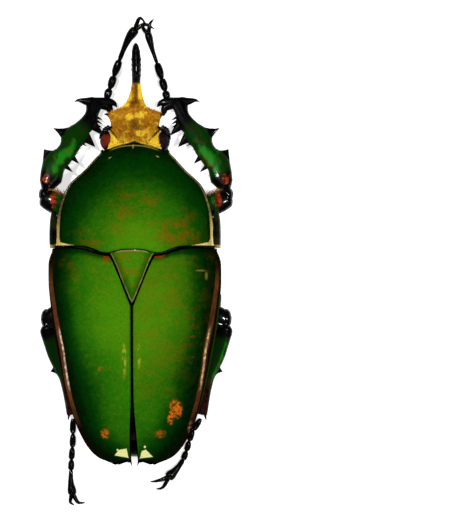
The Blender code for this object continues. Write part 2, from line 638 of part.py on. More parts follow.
def make_antenna(word, side):
    """A bent stalk that ends in a club of leaves, folded against the cheek."""
    stalk = limb(f"antenna_{word}", [mirrored(p, side) for p in ANTENNA_STALK], ANTENNA_STALK_SECTIONS,
                 "black_chitin", sides=8, rings=9)
    end = Vector(mirrored(ANTENNA_STALK[-1], side))
    leaves = []
    for i in range(LAMELLAE):
        spread = (i - (LAMELLAE - 1) / 2) * LAMELLA_SPREAD
        tip = end + Vector((side * (spread - 0.6), -LAMELLA_LENGTH, -0.4 - 0.1 * i))
        path = (end + Vector((0, 0.25, 0)), end.lerp(tip, 0.5), tip)
        leaves.append(limb("leaf", path, LAMELLA_SECTIONS, "black_chitin", sides=6, rings=5))
    apply_boolean(stalk, "UNION", leaves)
    return stalk


def make_mouthparts():
    """The chin plate with a short feeler on each side."""
    chin = loft("mouthparts", [oval_ring(width, y, top, low, 2.4, 12) for y, width, top, low in MENTUM],
                "black_chitin")
    palps = [limb("palp", [mirrored(p, side) for p in PALP_PATH], ((0, 0.3, 0.3), (1, 0.3, 0.3)),
                  "black_chitin", sides=6, rings=5) for side in SIDES.values()]
    apply_boolean(chin, "UNION", palps)
    return chin


def make_coxa(pair, word, side, sterna):
    """A hip in its socket."""
    centre, radii = COXAE[pair]
    centre = mirrored(centre, side)
    for sternum in sterna:
        socket = ellipsoid("socket", centre, [r + SOCKET_GAP for r in radii], "black_chitin")
        apply_boolean(sternum, "DIFFERENCE", [socket])
    return ellipsoid(f"{pair}_coxa_{word}", centre, radii, "leg_chitin")


def make_femur(pair, word, side, trunk):
    """A thigh, hollowed where the hip and the knee turn, with a bed for it in the trunk."""
    path, sections = FEMORA[pair]
    path = [mirrored(point, side) for point in path]
    femur = limb(f"{pair}_femur_{word}", path, sections, "leg_chitin")
    centre, radii = COXAE[pair]
    hip = ellipsoid("hip", mirrored(centre, side), [r + GAP for r in radii], "leg_chitin")
    knee_path, knee_sections = TIBIAE[pair]
    knee_size = [(share, width + GAP, thickness + GAP) for share, width, thickness in knee_sections]
    knee = limb("knee", [mirrored(point, side) for point in knee_path], knee_size, "leg_chitin", rings=11)
    apply_boolean(femur, "DIFFERENCE", [hip, knee])
    wider = [(share, width + GAP, thickness + GAP) for share, width, thickness in sections]
    for body in trunk:
        apply_boolean(body, "DIFFERENCE", [limb("bed", path, wider, "leg_chitin")])
    return femur


def make_tibia(pair, word, side):
    """A shin with its teeth, set by their share of its length and their reach across it."""
    path, sections = TIBIAE[pair]
    path = [mirrored(point, side) for point in path]
    tibia = limb(f"{pair}_tibia_{word}", path, sections, "leg_chitin", rings=11)
    place = smooth_path(path)
    start, end = Vector(path[0]), Vector(path[-1])
    axis = end - start
    outward = Vector((axis.y, -axis.x, 0)).normalized()
    if outward.x * side < 0:
        outward = -outward
    teeth = []
    for share, reach, width in TIBIA_TEETH[pair]:
        centre = place(share)
        half, thickness = read_between(sections, share)
        tip = start + axis * share + outward * reach
        tip.z = centre.z
        root = centre + outward * math.copysign(half * 0.45, reach)
        teeth.append(spike(root, tip, width, min(TOOTH_THICKNESS, thickness * 1.2), "leg_chitin"))
    for reach, shift in TIBIA_SPURS[pair]:
        centre = place(SPUR_ROOT)
        half, thickness = read_between(sections, SPUR_ROOT)
        root = centre + outward * math.copysign(half * 0.45, reach)
        tip = centre + outward * reach + axis.normalized() * shift
        teeth.append(spike(root, tip, SPUR_WIDTH, min(TOOTH_THICKNESS, thickness * 1.2), "leg_chitin"))
    if pair == "front":
        teeth.append(limb("plate", [mirrored(point, side) for point in TIBIA_PLATE], TIBIA_PLATE_SECTIONS,
                          "leg_chitin", rings=9))
    apply_boolean(tibia, "UNION", teeth)
    return tibia


def make_tarsus(pair, word):
    """A foot of five joints, each flared towards its end, with two hooked claws."""
    path, joints, claws = TARSI[pair, word]
    sections = []
    for start, end in zip((0.0, *joints), (*joints, 1.0)):
        for part, radius in TARSUS_JOINT if end < 1 else TARSUS_LAST_JOINT:
            sections.append((start + (end - start) * part, radius, radius * TARSUS_FLATNESS))
    shares = [0.0, *(share for share, _, _ in sections[1:-1]), 1.0]
    sections = [(share, *row[1:]) for share, row in zip(shares, sections)]
    foot = limb(f"{pair}_tarsus_{word}", path, sections, "leg_chitin", sides=6, shares=shares)
    end = Vector(path[-1])
    heading = (end - Vector(path[-2])).normalized()
    hooks = []
    for tip in claws:
        tip = Vector(tip)
        bend = end.lerp(tip, 0.55) + heading * 0.45
        hooks.append(limb("claw", (end - heading * 0.3, bend, tip), CLAW_SECTIONS, "leg_chitin", sides=5,
                          rings=4))
    apply_boolean(foot, "UNION", hooks)
    set_on_floor(foot)
    return foot


def main():
    for body in list(bpy.data.objects):
        bpy.data.objects.remove(body)
    make_pronotum()
    make_scutellum()
    make_head()
    make_horn()
    make_mouthparts()
    beds = make_trunk()
    for word, side in SIDES.items():
        make_elytron(word, side)
        make_mesepimeron(word, side)
        make_antenna(word, side)
        for pair in COXAE:
            make_coxa(pair, word, side, beds[pair])
            make_femur(pair, word, side, beds[pair])
            make_tibia(pair, word, side)
            make_tarsus(pair, word)


main()
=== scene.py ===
"""Dresses the solids of a male torquata flower beetle as a dried museum specimen.

Sizes in the tables are in millimetres and become metres where a mesh is made. +Y runs to the head,
+X to the beetle's right and +Z up from the floor.
"""

import json
import math

import bpy
import numpy as np
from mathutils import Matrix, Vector

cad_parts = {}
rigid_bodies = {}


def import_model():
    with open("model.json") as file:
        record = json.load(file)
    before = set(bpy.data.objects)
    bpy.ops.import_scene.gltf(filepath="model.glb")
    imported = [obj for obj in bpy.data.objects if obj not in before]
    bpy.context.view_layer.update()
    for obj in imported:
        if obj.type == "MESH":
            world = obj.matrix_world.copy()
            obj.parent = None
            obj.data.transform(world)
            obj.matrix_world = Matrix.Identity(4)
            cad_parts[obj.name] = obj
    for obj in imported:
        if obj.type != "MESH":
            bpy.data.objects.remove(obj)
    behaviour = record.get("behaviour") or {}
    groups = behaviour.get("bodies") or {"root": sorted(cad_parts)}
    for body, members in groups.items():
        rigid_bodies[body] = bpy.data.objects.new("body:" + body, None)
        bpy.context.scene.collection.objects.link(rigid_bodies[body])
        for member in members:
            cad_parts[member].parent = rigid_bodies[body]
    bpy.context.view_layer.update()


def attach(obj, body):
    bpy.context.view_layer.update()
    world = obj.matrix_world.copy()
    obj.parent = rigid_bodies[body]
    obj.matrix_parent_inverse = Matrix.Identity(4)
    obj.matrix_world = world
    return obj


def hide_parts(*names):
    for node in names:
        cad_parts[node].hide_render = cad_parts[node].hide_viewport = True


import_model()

bl_info = {
    "name": "Torquata Flower Beetle",
    "version": (1, 0, 0),
    "blender": (4, 5, 0),
    "location": "View3D > Sidebar > Beetle",
    "description": "Makes the shell, limbs, down and bristles of a dried flower beetle",
    "category": "Add Mesh",
}

MM = 0.001
GAP = 0.3
SIDES = {"left": -1, "right": 1}

# Pronotum: place along the body, half width, top, side edge and underside
PRONOTUM = (
    (19.5, 5.9, 11.3, 7.5, 6.5),
    (18.6, 6.8, 12, 7.6, 6.4),
    (16.3, 8.9, 13.4, 7.7, 6.3),
    (13.1, 12.1, 15, 7.9, 6.3),
    (8.6, 13.75, 16.5, 8.1, 6.3),
    (5.5, 14.15, 17.1, 8.2, 6.4),
    (2.6, 14.28, 17.3, 8.3, 6.6),
)
PRONOTUM_ROUNDNESS = 2.15
PRONOTUM_REACH = 3.0
# Width of the flattened margin of the pronotum along the body
PRONOTUM_MARGIN = ((2.6, 0.95), (6, 0.95), (9, 0.75), (13.1, 0.5), (16.3, 0.42), (19.5, 0.3))
MARGIN_RISE = 0.45
# Width of the cream band along the body, how deep it is where it turns inwards, and its rounding there
CREAM_WIDTH = (
    (2.6, 0.85), (5, 0.78), (8, 0.62), (11, 0.52), (13.5, 0.44), (16, 0.4), (19.5, 0.34),
)
CREAM_TURN = ((9.6, -0.8), (10.2, 0.08), (11.5, 0.3), (13.2, 0.7))
CREAM_ROUND = 0.8

SCUTELLUM_HALF_WIDTH = 3.75
SCUTELLUM_TIP = -7.6
SCUTELLUM_TOP = 17.0
SCUTELLUM_THICKNESS = 1.0
SCUTELLUM_CROWN = 0.3
SCUTELLUM_CURVE = 0.9

# Wing case, right side: inner edge x, y, z, then outer edge x, y, z and the roundness of the arch
ELYTRON = (
    (0.00, 3.9, 0.85, 16.9, 14.4, 2.1, 9, 2.4),
    (0.06, 2.2, -2.1, 17.2, 15.25, -0.7, 8.4, 2.4),
    (0.13, 1.1, -4.9, 17.5, 15.3, -3.9, 8, 2.6),
    (0.20, 0.15, -8.1, 17.6, 15, -7.7, 7.7, 2.7),
    (0.34, 0.15, -13.2, 17.6, 14.3, -13.2, 7.5, 2.7),
    (0.50, 0.15, -19, 17.2, 13.2, -19, 7.4, 2.7),
    (0.65, 0.2, -24.5, 16.3, 11.95, -24.5, 7.4, 2.6),
    (0.78, 0.45, -29, 14.8, 10.5, -29, 7.5, 2.5),
    (0.88, 0.6, -32.4, 12.6, 8.8, -32.5, 7.6, 2.4),
    (0.95, 0.66, -34.6, 10.6, 6.7, -34.9, 7.7, 2.2),
    (1.00, 0.65, -35.8, 9.2, 3.4, -36.3, 7.8, 2.1),
)
ELYTRON_FRONT_REACH = 0.2
ELYTRON_BUMPS = ((11.5, -2.4, 0.35, 2.2), (5.6, -29.8, 0.45, 2.2))
SUTURE_SPINE = 0.9
# Distance of the copper ridge inside the outline, seen from above, by share of the length
COPPER_RIDGE = (
    (0, 0.3), (0.1, 0.5), (0.2, 0.9), (0.3, 1.15), (0.4, 1.3), (0.5, 1), (0.65, 0.75), (1, 0.6),
)

# How light the green is, painted light and shade together with the green's own darker margins: by the
# distance inside the outline, and by the place along the body
WING_LIGHT_ACROSS = (
    (0.8, 0.02), (1.6, 0.08), (2.6, 0.18), (3.8, 0.36), (6, 0.66), (9, 0.88), (12, 0.95),
)
WING_LIGHT_ALONG = (
    (-36.5, 0.3), (-34, 0.5), (-29, 0.74), (-22, 0.82), (-16, 0.96), (-10, 1.03), (-2, 0.95),
    (2, 0.9),
)

# Underside of the trunk: place along the body, half width, top, side edge, depth below that edge
METASTERNUM = (
    (3.3, 5, 5.7, 4.6, 3.4),
    (1.6, 9.4, 5.9, 5.2, 5.6),
    (0.9, 12.2, 6, 5.6, 6.6),
    (0.3, 12.9, 13.6, 6.6, 7.6),
    (-1.2, 13.6, 14.6, 7, 8),
    (-4, 13.9, 15, 7, 8.1),
    (-7, 13.6, 15.6, 6.9, 8),
    (-9.9, 13.2, 15.9, 6.8, 7.9),
)
ABDOMEN = (
    (-10.2, 13.1, 16, 6.8, 7.9),
    (-14, 12.7, 16, 6.7, 7.8),
    (-19, 11.7, 15.6, 6.7, 7.7),
    (-24.5, 10.4, 14.7, 6.7, 7.5),
    (-28, 9.1, 13.5, 6.7, 6.9),
    (-30.2, 7.8, 12.2, 6.8, 6.1),
    (-31.6, 6.6, 10.9, 6.9, 5.3),
)
BELLY_SHARPNESS = 1.6
SEGMENTS = 6
SEGMENT_STEP = 0.3
PYGIDIUM_CENTRE = (0, -33.7, 5.2)
PYGIDIUM_RADII = (6, 1.6, 3.5)
MESOSTERNAL_KNOB = ((0, 2.4, 2.6), (0, 4.1, 2.5), 1.5, 1.1)
PROSTERNUM = (
    (18.7, 3.9, 5.9, 4.2), (15, 5.2, 5.9, 3.3), (11, 5.8, 5.9, 2.9), (7, 5.6, 6, 2.9),
    (4.4, 4.6, 6.1, 3.4),
)
MESEPIMERON = (
    (8.9, 14.74, 0.22, 8, 6.9), (7, 14.84, 0.42, 8.9, 5.6), (4.5, 14.87, 0.48, 9.4, 4.8),
    (3.2, 14.87, 0.46, 9.3, 4.6), (2.3, 14.95, 0.36, 8.5, 4.4),
)

# Head: place along the body, half width, top and underside
HEAD = (
    (19.6, 5, 10.6, 5.2),
    (21, 5, 10.4, 4.7),
    (22.6, 4.7, 10.1, 4.7),
    (24.2, 4.3, 9.8, 5.2),
    (25.3, 4.55, 9.6, 6.1),
    (25.8, 4.9, 9.55, 6.6),
    (26.15, 5.45, 9.5, 7),
    (26.4, 4.7, 9.5, 7.2),
    (26.8, 3.6, 9.6, 7.4),
    (27.3, 2.35, 9.6, 7.6),
    (27.9, 1.75, 9.65, 7.7),
)
HEAD_ROUNDNESS = 2.6
EYE_CENTRE = (4.85, 21.4, 7.9)
EYE_RADII = (1.4, 1.75, 1.65)
HORN_PATH = (
    (0.05, 27, 8.6), (0.15, 28.3, 8.7), (0.26, 30, 9), (0.32, 32, 9.6), (0.4, 35, 11),
    (0.42, 38.2, 12.9),
)
HORN_SECTIONS = (
    (0, 2.3, 1), (0.11, 1.6, 0.98), (0.22, 1.15, 0.92), (0.4, 0.78, 0.85), (0.6, 0.85, 0.8),
    (0.78, 0.82, 0.75), (0.9, 0.66, 0.62), (0.96, 0.5, 0.5), (0.99, 0.28, 0.3), (1, 0.12, 0.15),
)
HORN_BLACK_FROM = 31.5
ANTENNA_STALK = ((4.7, 24, 6.2), (5.6, 23.6, 5.7), (5.9, 22.4, 5.2), (5.6, 21, 4.9))
LAMELLAE = 3
LAMELLA_LENGTH = 3.0
MENTUM = ((20.4, 2.4, 3.9, 3), (22, 2.8, 4.1, 2.9), (23.6, 2.3, 4.5, 3.6), (24.6, 1.3, 5.1, 4.5))
PALP_PATH = ((1.6, 23.2, 3.7), (2.7, 24.4, 3.9), (3.4, 24.1, 3.7))

# Legs, right side: hips, then the path and half sizes of thighs and shins
COXAE = {
    "front": ((3.5, 7.4, 3.6), (2, 2, 2.3)),
    "mid": ((3.9, -1.3, 2.2), (2, 1.7, 1.7)),
    "hind": ((4.3, -11, 2.4), (2.5, 1.9, 1.8)),
}
FEMORA = {
    "front": (
        ((5, 7.2, 3.7), (9, 7.9, 4.1), (13, 9.7, 4.5), (17.3, 11.7, 4.5)),
        ((0, 1.2, 1.1), (0.35, 1.85, 1.35), (0.8, 1.95, 1.35), (0.94, 1.7, 1.15), (1, 1.4, 0.9)),
    ),
    "mid": (
        ((5.2, -1.7, 2.3), (9, -2.6, 2.9), (12, -3.6, 3.4), (14.3, -4.8, 3.6)),
        ((0, 1, 0.9), (0.4, 1.5, 1.05), (0.8, 1.5, 1.05), (0.94, 1.25, 0.95), (1, 0.85, 0.7)),
    ),
    "hind": (
        ((6.2, -10.8, 2.9), (9.5, -9.9, 3.7), (13.2, -9.8, 4.2), (16.7, -11.1, 4.2)),
        ((0, 1.2, 1), (0.4, 1.85, 1.2), (0.8, 1.95, 1.2), (0.94, 1.6, 1.05), (1, 1.1, 0.8)),
    ),
}
TIBIAE = {
    "front": (
        (
            (16.45, 12.9, 4.6), (14.65, 16.9, 4.1), (12.7, 19.9, 3.5), (10.9, 22.9, 2.8), (8.2, 26.4, 1.9),
            (6.6, 29.1, 1.4),
        ),
        (
            (0, 1.2, 1), (0.06, 1.55, 1.1), (0.14, 2.2, 1.15), (0.25, 2.5, 1.1), (0.4, 2.2, 1),
            (0.58, 2.1, 0.9), (0.7, 1.8, 0.8), (0.83, 1.4, 0.7), (0.95, 1.9, 0.65), (1, 1.9, 0.55),
        ),
    ),
    "mid": (
        ((14.5, -5.7, 3.3), (14.3, -8, 2.1), (13.4, -11.5, 1.4), (12.2, -14.8, 1.1), (11, -17.8, 1)),
        ((0, 0.95, 0.8), (0.3, 1.05, 0.75), (0.7, 0.95, 0.65), (1, 1.25, 0.6)),
    ),
    "hind": (
        (
            (16.4, -11.4, 4), (15.3, -14.6, 3.7), (14.4, -17.5, 3.3), (13.2, -21.2, 2.7),
            (12.4, -24.4, 2.2), (11.7, -28, 1.6),
        ),
        (
            (0, 1.2, 0.95), (0.1, 1.55, 0.95), (0.3, 1.6, 0.9), (0.5, 1.25, 0.8), (0.62, 0.95, 0.75),
            (1, 1.15, 0.65),
        ),
    ),
}
# Knees: centre and radii
KNEES = {"front": ((16.6, 12, 4.7), (1, 1.35, 1.2)), "hind": ((16.3, -10.5, 4.1), (1, 1.8, 1.05))}
# Outline of the front shin: share of its length, and reach across from the line between its ends
SHIN_OUTER = (
    (0, 0.7), (0.02, 1.1), (0.06, 1.75), (0.127, 2.34), (0.22, 3.05), (0.312, 4.1), (0.326, 3.3),
    (0.347, 2.6), (0.385, 2.2), (0.432, 2.09), (0.47, 2.25), (0.503, 2.62), (0.525, 3.5), (0.543, 4.8),
    (0.562, 3.9), (0.585, 3.15), (0.615, 2.5), (0.68, 1.85), (0.753, 1.43), (0.81, 1.3), (0.85, 1.45),
    (0.89, 1.85), (0.93, 2.3), (0.97, 2.5), (1, 1.8),
)
SHIN_INNER = (
    (0, -0.8), (0.03, -1.3), (0.12, -1.87), (0.25, -1.05), (0.317, -1.25), (0.423, -1.4), (0.524, -1.35),
    (0.59, -1.75), (0.661, -1.65), (0.692, -1.3), (0.74, -1.5), (0.786, -1.7), (0.83, -1.35),
    (0.868, -0.95), (0.923, -0.75), (1, -0.9),
)
# Inner teeth: share at the root, share and reach of the tip, and width
SHIN_TEETH = (
    (0.295, 0.279, -2.6, 1), (0.405, 0.377, -2.75, 1.2), (0.56, 0.56, -2.25, 0.6),
    (0.635, 0.597, -3.55, 1.9), (0.77, 0.733, -3.75, 1.6), (0.79, 0.79, -2.75, 0.6),
    (0.82, 0.82, -2.5, 0.6), (0.85, 0.855, -2.1, 0.55),
)
# End of the front shin: a crossways plate drawn out to two hooks, and a lobe behind its inner one
SHIN_PLATE = (
    (11.45, 29.05, 1.5), (10.7, 29.35, 1.5), (9.3, 29.15, 1.5), (7.4, 28.95, 1.4), (5.4, 28.95, 1.35),
    (4.3, 28.8, 1.3), (3.65, 28.1, 1.3),
)
SHIN_PLATE_SIZES = (
    (0, 0.05, 0.06), (0.06, 0.2, 0.22), (0.15, 0.42, 0.3), (0.25, 0.65, 0.38), (0.42, 0.95, 0.45),
    (0.62, 0.95, 0.45), (0.8, 0.8, 0.42), (0.92, 0.42, 0.3), (1, 0.05, 0.06),
)
SHIN_LOBE = ((6.3, 28.6, 1.4), (5.1, 27.9, 1.4), (4.7, 26.5, 1.35))
SHIN_LOBE_SIZES = ((0, 0.9, 0.45), (0.35, 0.75, 0.42), (0.75, 0.55, 0.36), (1, 0.2, 0.2))
# Teeth of the other shins: share of the length, reach across of the tip, and width of the base
TIBIA_TEETH = {"mid": ((0.42, 2.2, 1.5),), "hind": ((0.49, 1.75, 1.9),)}
# Spurs at the end of the shins: reach across from the midline, and shift of the tip past the root
TIBIA_SPURS = {"mid": ((1.9, 1.2), (-1.9, 1.4)), "hind": ((1.25, 1.5), (-1.7, 1.8))}
# Feet, each side: path to the root of the claws, joints as shares of the path, bend and tip of each claw
TARSI = {
    ("front", "left"): (
        ((-5.75, 29.3, 1.3), (-4.9, 31.8, 1.2), (-3.75, 35.2, 1.4), (-1.65, 40.2, 2.3), (-0.15, 42.3, 2.7)),
        (0.02, 0.16, 0.33, 0.545),
        (((0.7, 44.1, 3.3), (1.75, 43.1, 3.1)), ((1.5, 43, 2.9), (3.3, 42.2, 2.7))),
    ),
    ("front", "right"): (
        ((5.6, 29.3, 1.2), (4.85, 32.1, 0.9), (3.8, 35.6, 0.7), (2.6, 39.2, 0.6), (1.9, 41.9, 0.6)),
        (0.02, 0.14, 0.32, 0.55),
        (((2.3, 43.4, 0.5), (3, 44.4, 0.4)), ((1, 43, 0.5), (1.1, 43.9, 0.4))),
    ),
    ("mid", "left"): (
        (
            (-10.85, -18.5, 0.8), (-10.2, -21, 0.6), (-9.3, -24, 0.5), (-8.6, -27, 0.5),
            (-8.2, -29.6, 0.5),
        ),
        (0.16, 0.33, 0.48, 0.62),
        (((-8.7, -30.8, 0.6), (-8.9, -31.4, 0.4)), ((-7.4, -30.8, 0.6), (-7, -31.2, 0.4))),
    ),
    ("mid", "right"): (
        ((10.85, -18.5, 0.8), (10.3, -21, 0.6), (9.4, -24, 0.5), (8.5, -26.9, 0.5), (8.1, -29.5, 0.5)),
        (0.16, 0.33, 0.48, 0.62),
        (((8.6, -30.7, 0.6), (8.8, -31.3, 0.4)), ((7.3, -30.7, 0.6), (6.9, -31.1, 0.4))),
    ),
    ("hind", "left"): (
        (
            (-11.75, -28.9, 1.3), (-11.8, -32.3, 0.8), (-12.1, -37, 0.6), (-12.2, -40.2, 0.6),
            (-11.9, -42.9, 0.6),
        ),
        (0.2, 0.38, 0.54, 0.68),
        (((-12.3, -44.2, 0.6), (-11.5, -44.9, 0.4)), ((-10.6, -44.4, 0.6), (-9.5, -44.4, 0.4))),
    ),
    ("hind", "right"): (
        ((11.65, -28.9, 1.3), (10.1, -31.4, 0.9), (8.5, -36.2, 0.6), (7.1, -38.3, 0.7), (5.6, -39.8, 0.7)),
        (0.2, 0.37, 0.52, 0.66),
        (((4.4, -41.7, 0.7), (3.3, -41.9, 0.4)), ((4.2, -40.2, 0.8), (2.3, -40.6, 0.4))),
    ),
}
# Width of the last joint of each foot, as a share of the table's
LAST_WIDTH = {("front", "left"): 1.08, ("front", "right"): 0.86, ("hind", "right"): 1.15}
# Radius of a foot's joint along its length
FOOT_JOINT = ((0, 0.3), (0.12, 0.46), (0.3, 0.62), (0.6, 0.68), (0.85, 0.6), (0.95, 0.45), (1, 0.3))
LAST_JOINT = ((0, 0.3), (0.08, 0.4), (0.3, 0.44), (0.6, 0.62), (0.85, 0.82), (0.95, 0.76), (1, 0.5))

# Spots on the plan: x, y, half width, half length, softness of the edge, wandering of the edge, strength
PRONOTUM_RUST = (
    (0.3, 8.4, 4.6, 4, 0.6),
    (8.4, 5, 4, 3.2, 0.6),
    (-7.5, 3.9, 3.6, 1.6, 0.6, 0, 0.7),
)
PRONOTUM_HOLLOW = (0.6, 6.4, 2.4, 2.6, 0.7, 0, 0.8)
WING_RUST = (
    (7, -10, 7, 11, 0.6, 0, 0.5),
    (-8, -3, 4.5, 3.5, 0.7, 0, 0.5),
    (4.6, -21.5, 3.2, 3.6, 0.7, 0, 0.6),
    (12, -0.6, 2.6, 1.8, 0.6, 0, 0.8),
    (-12.2, -0.6, 2.6, 1.8, 0.6, 0, 0.7),
)
WING_DARK = (-9, -21, 4.5, 5, 0.8, 0, 0.2)
WING_FRECKLES = (10.3, -11.5, 0.9, 6.5, 0.5, 0, 0.8)
WING_RED = ((4.6, 1, 0.9, 1.2, 0.4, 0.6), (-4.4, 0.6, 0.5, 0.9, 0.4, 0.6, 0.8))
WING_ORANGE = (
    (7.45, -25.9, 1.1, 1.6, 0.25, 0.8),
    (6.6, -27.6, 0.55, 0.9, 0.3, 0.8),
    (-4.9, -30.2, 0.7, 0.9, 0.3, 0.7, 0.8),
    (4.8, -30.3, 0.9, 0.7, 0.4, 0.9, 0.5),
    (-5.4, -18.7, 0.5, 0.4, 0.5, 0.9, 0.35),
)
SUTURE_GLINTS = ((-1.35, -17.2, 0.34, 2.4, 0.5, 1.6, 0.75), (1.25, -16.8, 0.26, 2.1, 0.5, 1.6, 0.55))
SHOULDER_GLINTS = ((11.9, -1.7, 0.8, 0.16, 0.5, 1.2), (12.85, -2.6, 0.22, 0.7, 0.5, 1.2))
# Painted highlight along the outer edge of the left shoulder
SHOULDER_HIGHLIGHT_PATCH = (-14.8, -3.5, 1.6, 3.6, 0.4)
# Painted highlight at the rear end of the copper band on the right
TAIL_HIGHLIGHT = (10.1, -29.9, 0.5, 1.3, 0.5, 0.9)
TIP_DOTS = ((-2.85, -33.35, 0.16, 0.2, 0.3), (2, -32.75, 0.18, 0.22, 0.3))
SCUTELLUM_DOT = (0.55, 2, 0.22, 0.22, 0.3)
HEAD_STRAW = (
    (1, 22.6, 0.7, 0.5, 0.6, 0, 0.8),
    (0.8, 25.9, 0.8, 0.6, 0.7, 0, 0.6),
    (-0.9, 25.6, 0.8, 0.5, 0.7, 0, 0.5),
)
HEAD_DIP = (0.05, 24.3, 0.8, 0.8, 0.7, 0, 0.75)
HORN_RUST = (-0.35, 27.7, 0.4, 0.9, 0.7, 0.8, 0.75)
# Corners of the pale tips of the wing cases on the plan, clockwise
TIP_CREAM = (
    ((-3.45, -34.45), (-2.6, -33.35), (-1.25, -33.1), (-1, -34.95)),
    ((1, -35.05), (1.4, -33.6), (2.15, -33.3), (3.3, -34.75)),
)

# Colours of the small spots, among them painted highlights and painted shade
OLIVE_CAST = (0.11, 0.16, 0.003)
FRECKLE_RED = (0.16, 0.015, 0.003)
SUTURE_GLINT = (0.42, 0.42, 0.03)
# Black brown of the outer wall below the ridge, partly painted shade
WALL_SHADE_BROWN = (0.012, 0.004, 0.002)
COPPER_GLEAM = ((0.85, 0.62, 0.45), (0.75, 0.5, 0.2))
TAIL_GLEAM = (0.5, 0.2, 0.09)
SHOULDER_HIGHLIGHT_CREAM = (0.36, 0.29, 0.10)
SHOULDER_GLEAM = (0.3, 0.24, 0.03)
TIP_PALE = (0.86, 0.84, 0.32)
DOT_PALE = (0.9, 0.88, 0.75)
HEAD_RUST = (0.24, 0.045, 0.002)
CANTHUS_PALE = (0.85, 0.7, 0.25)
CANTHUS_DARK = (0.03, 0.012, 0.002)
NECK_GREEN = (0.003, 0.025, 0.002)
WORN_CHITIN = (0.012, 0.005, 0.003)
# Gold tint in the painted highlight of the shins
SHIN_GOLD = (0.09, 0.09, 0.002)
HIND_RED = (0.035, 0.005, 0.002)
RIGHT_EYE = (0.012, 0.004, 0.008)
EYE_CAP = (0.006, 0.003, 0.003)
FOOT_HAIR = (0.02, 0.012, 0.008)
WHITE = (1.0, 1.0, 1.0)
FLOOR_SHADE = (0.95, 0.95, 0.95)
COAT_ROUGHNESS = 0.08

# Ridge beside the eye, on the plan: a place on it, and the direction across it
CANTHUS_PLACE = (2.75, 21.35)
CANTHUS_ACROSS = (0.735, -0.678)
CANTHUS_BAR = ((4.1, 23.9, 8.6), (5, 23.3, 8.8), (5.9, 22.6, 8.6), (6.35, 21.8, 7.9))
CANTHUS_KNOB = ((5.6, 19.6, 7.9), (6, 19.35, 8))
# Teeth of the horn: place along the body and reach
HORN_TEETH = ((32.9, 0.05), (33.9, 0.1), (34.7, 0.06), (35.6, 0.1), (36.9, 0.06))
JAW_PATH = ((0.9, 23.4, 4.6), (1.5, 24.9, 4.9), (1, 25.9, 5.2))
# Ring of the trunk before the wing cases: place along the body, half width, top and underside
COLLAR = ((4.4, 13, 16.3, 8.4), (-0.9, 13.7, 16, 8))
SHOULDER_SHELF = ((11.5, 2.3, 7.9), (14.15, 2.5, 7.6))
SHOULDER_WEDGE = ((12.8, -2, 8.3), (14.6, -2, 8.1))
# Blade of the trunk under the seam of the wing cases
SEAM_BLADE = ((0, -7, 16.3), (0, -9, 16.5), (0, -13.2, 16.5), (0, -19, 16.1), (0, -24.5, 15.2))
# Small glints by the front edge of the pronotum: x, y and slant
PRONOTUM_GLINTS = ((-4.2, 18.2, 0.5), (4.2, 18.4, -0.5))
# Faint ribs of a wing case, by share of the way across
WING_RIBS = (0.28, 0.5, 0.7)

# Marks of the thighs: end of the fringe, red by the knee, green, partly painted highlight on the upper side,
# and pale hair
THIGH_MARKS = {"front": (0.93, 1.15, 0.55, 0.5), "mid": (0.6, 0, 0.1, 0), "hind": (0.6, 0, 0.1, 0)}
# Green of the shins, partly painted highlight on their upper side: shares of the length where it starts, is
# full, starts to fade and ends
SHIN_GREEN = {"front": (0.1, 0.22, 0.62, 0.8), "mid": (0.1, 0.2, 0.5, 0.8), "hind": (0.1, 0.2, 0.6, 0.75)}
# Red of the shins, and how thickly their bristles grow
SHIN_MARKS = {"front": (1.1, 0.35), "mid": (0, 1), "hind": (0.6, 1)}
# Width of a foot's joints but the last
FOOT_WIDTH = {"front": 1.08, "mid": 0.88, "hind": 0.88}

# Ends of a lofted body: how far on its last rings lie towards the point in the end
END_RINGS = (0.5, 0.04)
# Teeth: share of the length where the point starts, and half width of the point
SPIKE_LENGTH = 0.97
SPIKE_POINT = 0.01
# How far ahead and behind a path's direction is taken
PATH_STEP = 0.01
# Rounding of a wing case's rim
RIM_ROUNDING = 0.12
# Section of a shin: roundness of its body, half thickness of the blade that it runs out into, and its ridge
SHIN_ROUNDNESS = 2.3
SHIN_BLADE = 0.36
SHIN_RIDGE = 0.08

# Hair: tufts on a square millimetre, share of its length, width of a strand, rise, straying and seed
HAIR = {
    "head": (42, 1, 0.057, 0.28, 0.28, 3),
    "horn": (36, 0.8, 0.045, 0.25, 0.25, 4),
    "metasternum": (3.2, 1, 0.055, 0.35, 0.3, 11),
    "abdomen": (1.3, 0.6, 0.05, 0.25, 0.25, 12),
    "prosternum": (6, 1, 0.055, 0.4, 0.35, 13),
    "thigh": (26, 1, 0.06, 0.55, 0.25, 20),
    "shin": (8, 1, 0.06, 0.5, 0.2, 20),
    "foot": (1.2, 0.5, 0.05, 0.45, 0.2, 60),
}
RIGHT_SEED = 10
BACKWARDS = (0, -1, 0)
HORN_LIE = (0, 1, 0.15)
# Strands of a tuft: shift across by widths, share of the length, and spin
STRANDS = ((0, 1, 0), (1.6, 0.8, 0.25), (-1.6, 0.7, -0.25))
# A strand's width at its tip as a share of that at its root, its bend, and the range of the tufts' sizes
STRAND_TIP = 0.16
STRAND_BEND = -0.35
TUFT_SIZES = (0.55, 1.2)
# Size of a tuft's patch in the bake, and the margin left free there
BAKE_PATCH = 0.003
BAKE_MARGIN = 0.01

# Lamps: place in metres and power
LAMPS = {
    "key": ((-0.13, 0.12, 0.48), 1.25),
    "fill": ((0.18, -0.02, 0.46), 0.95),
    "back": ((0.02, -0.34, 0.36), 0.45),
}
LAMP_SIZE = 0.05
WORLD_LIGHT = 0.03
FLOOR_GLOW = 0.7
FLOOR_LEVEL = -0.00002
CAMERA_PLACE = (0.01663, 0.00014, 0.292)
CAMERA_LENS = 110.0


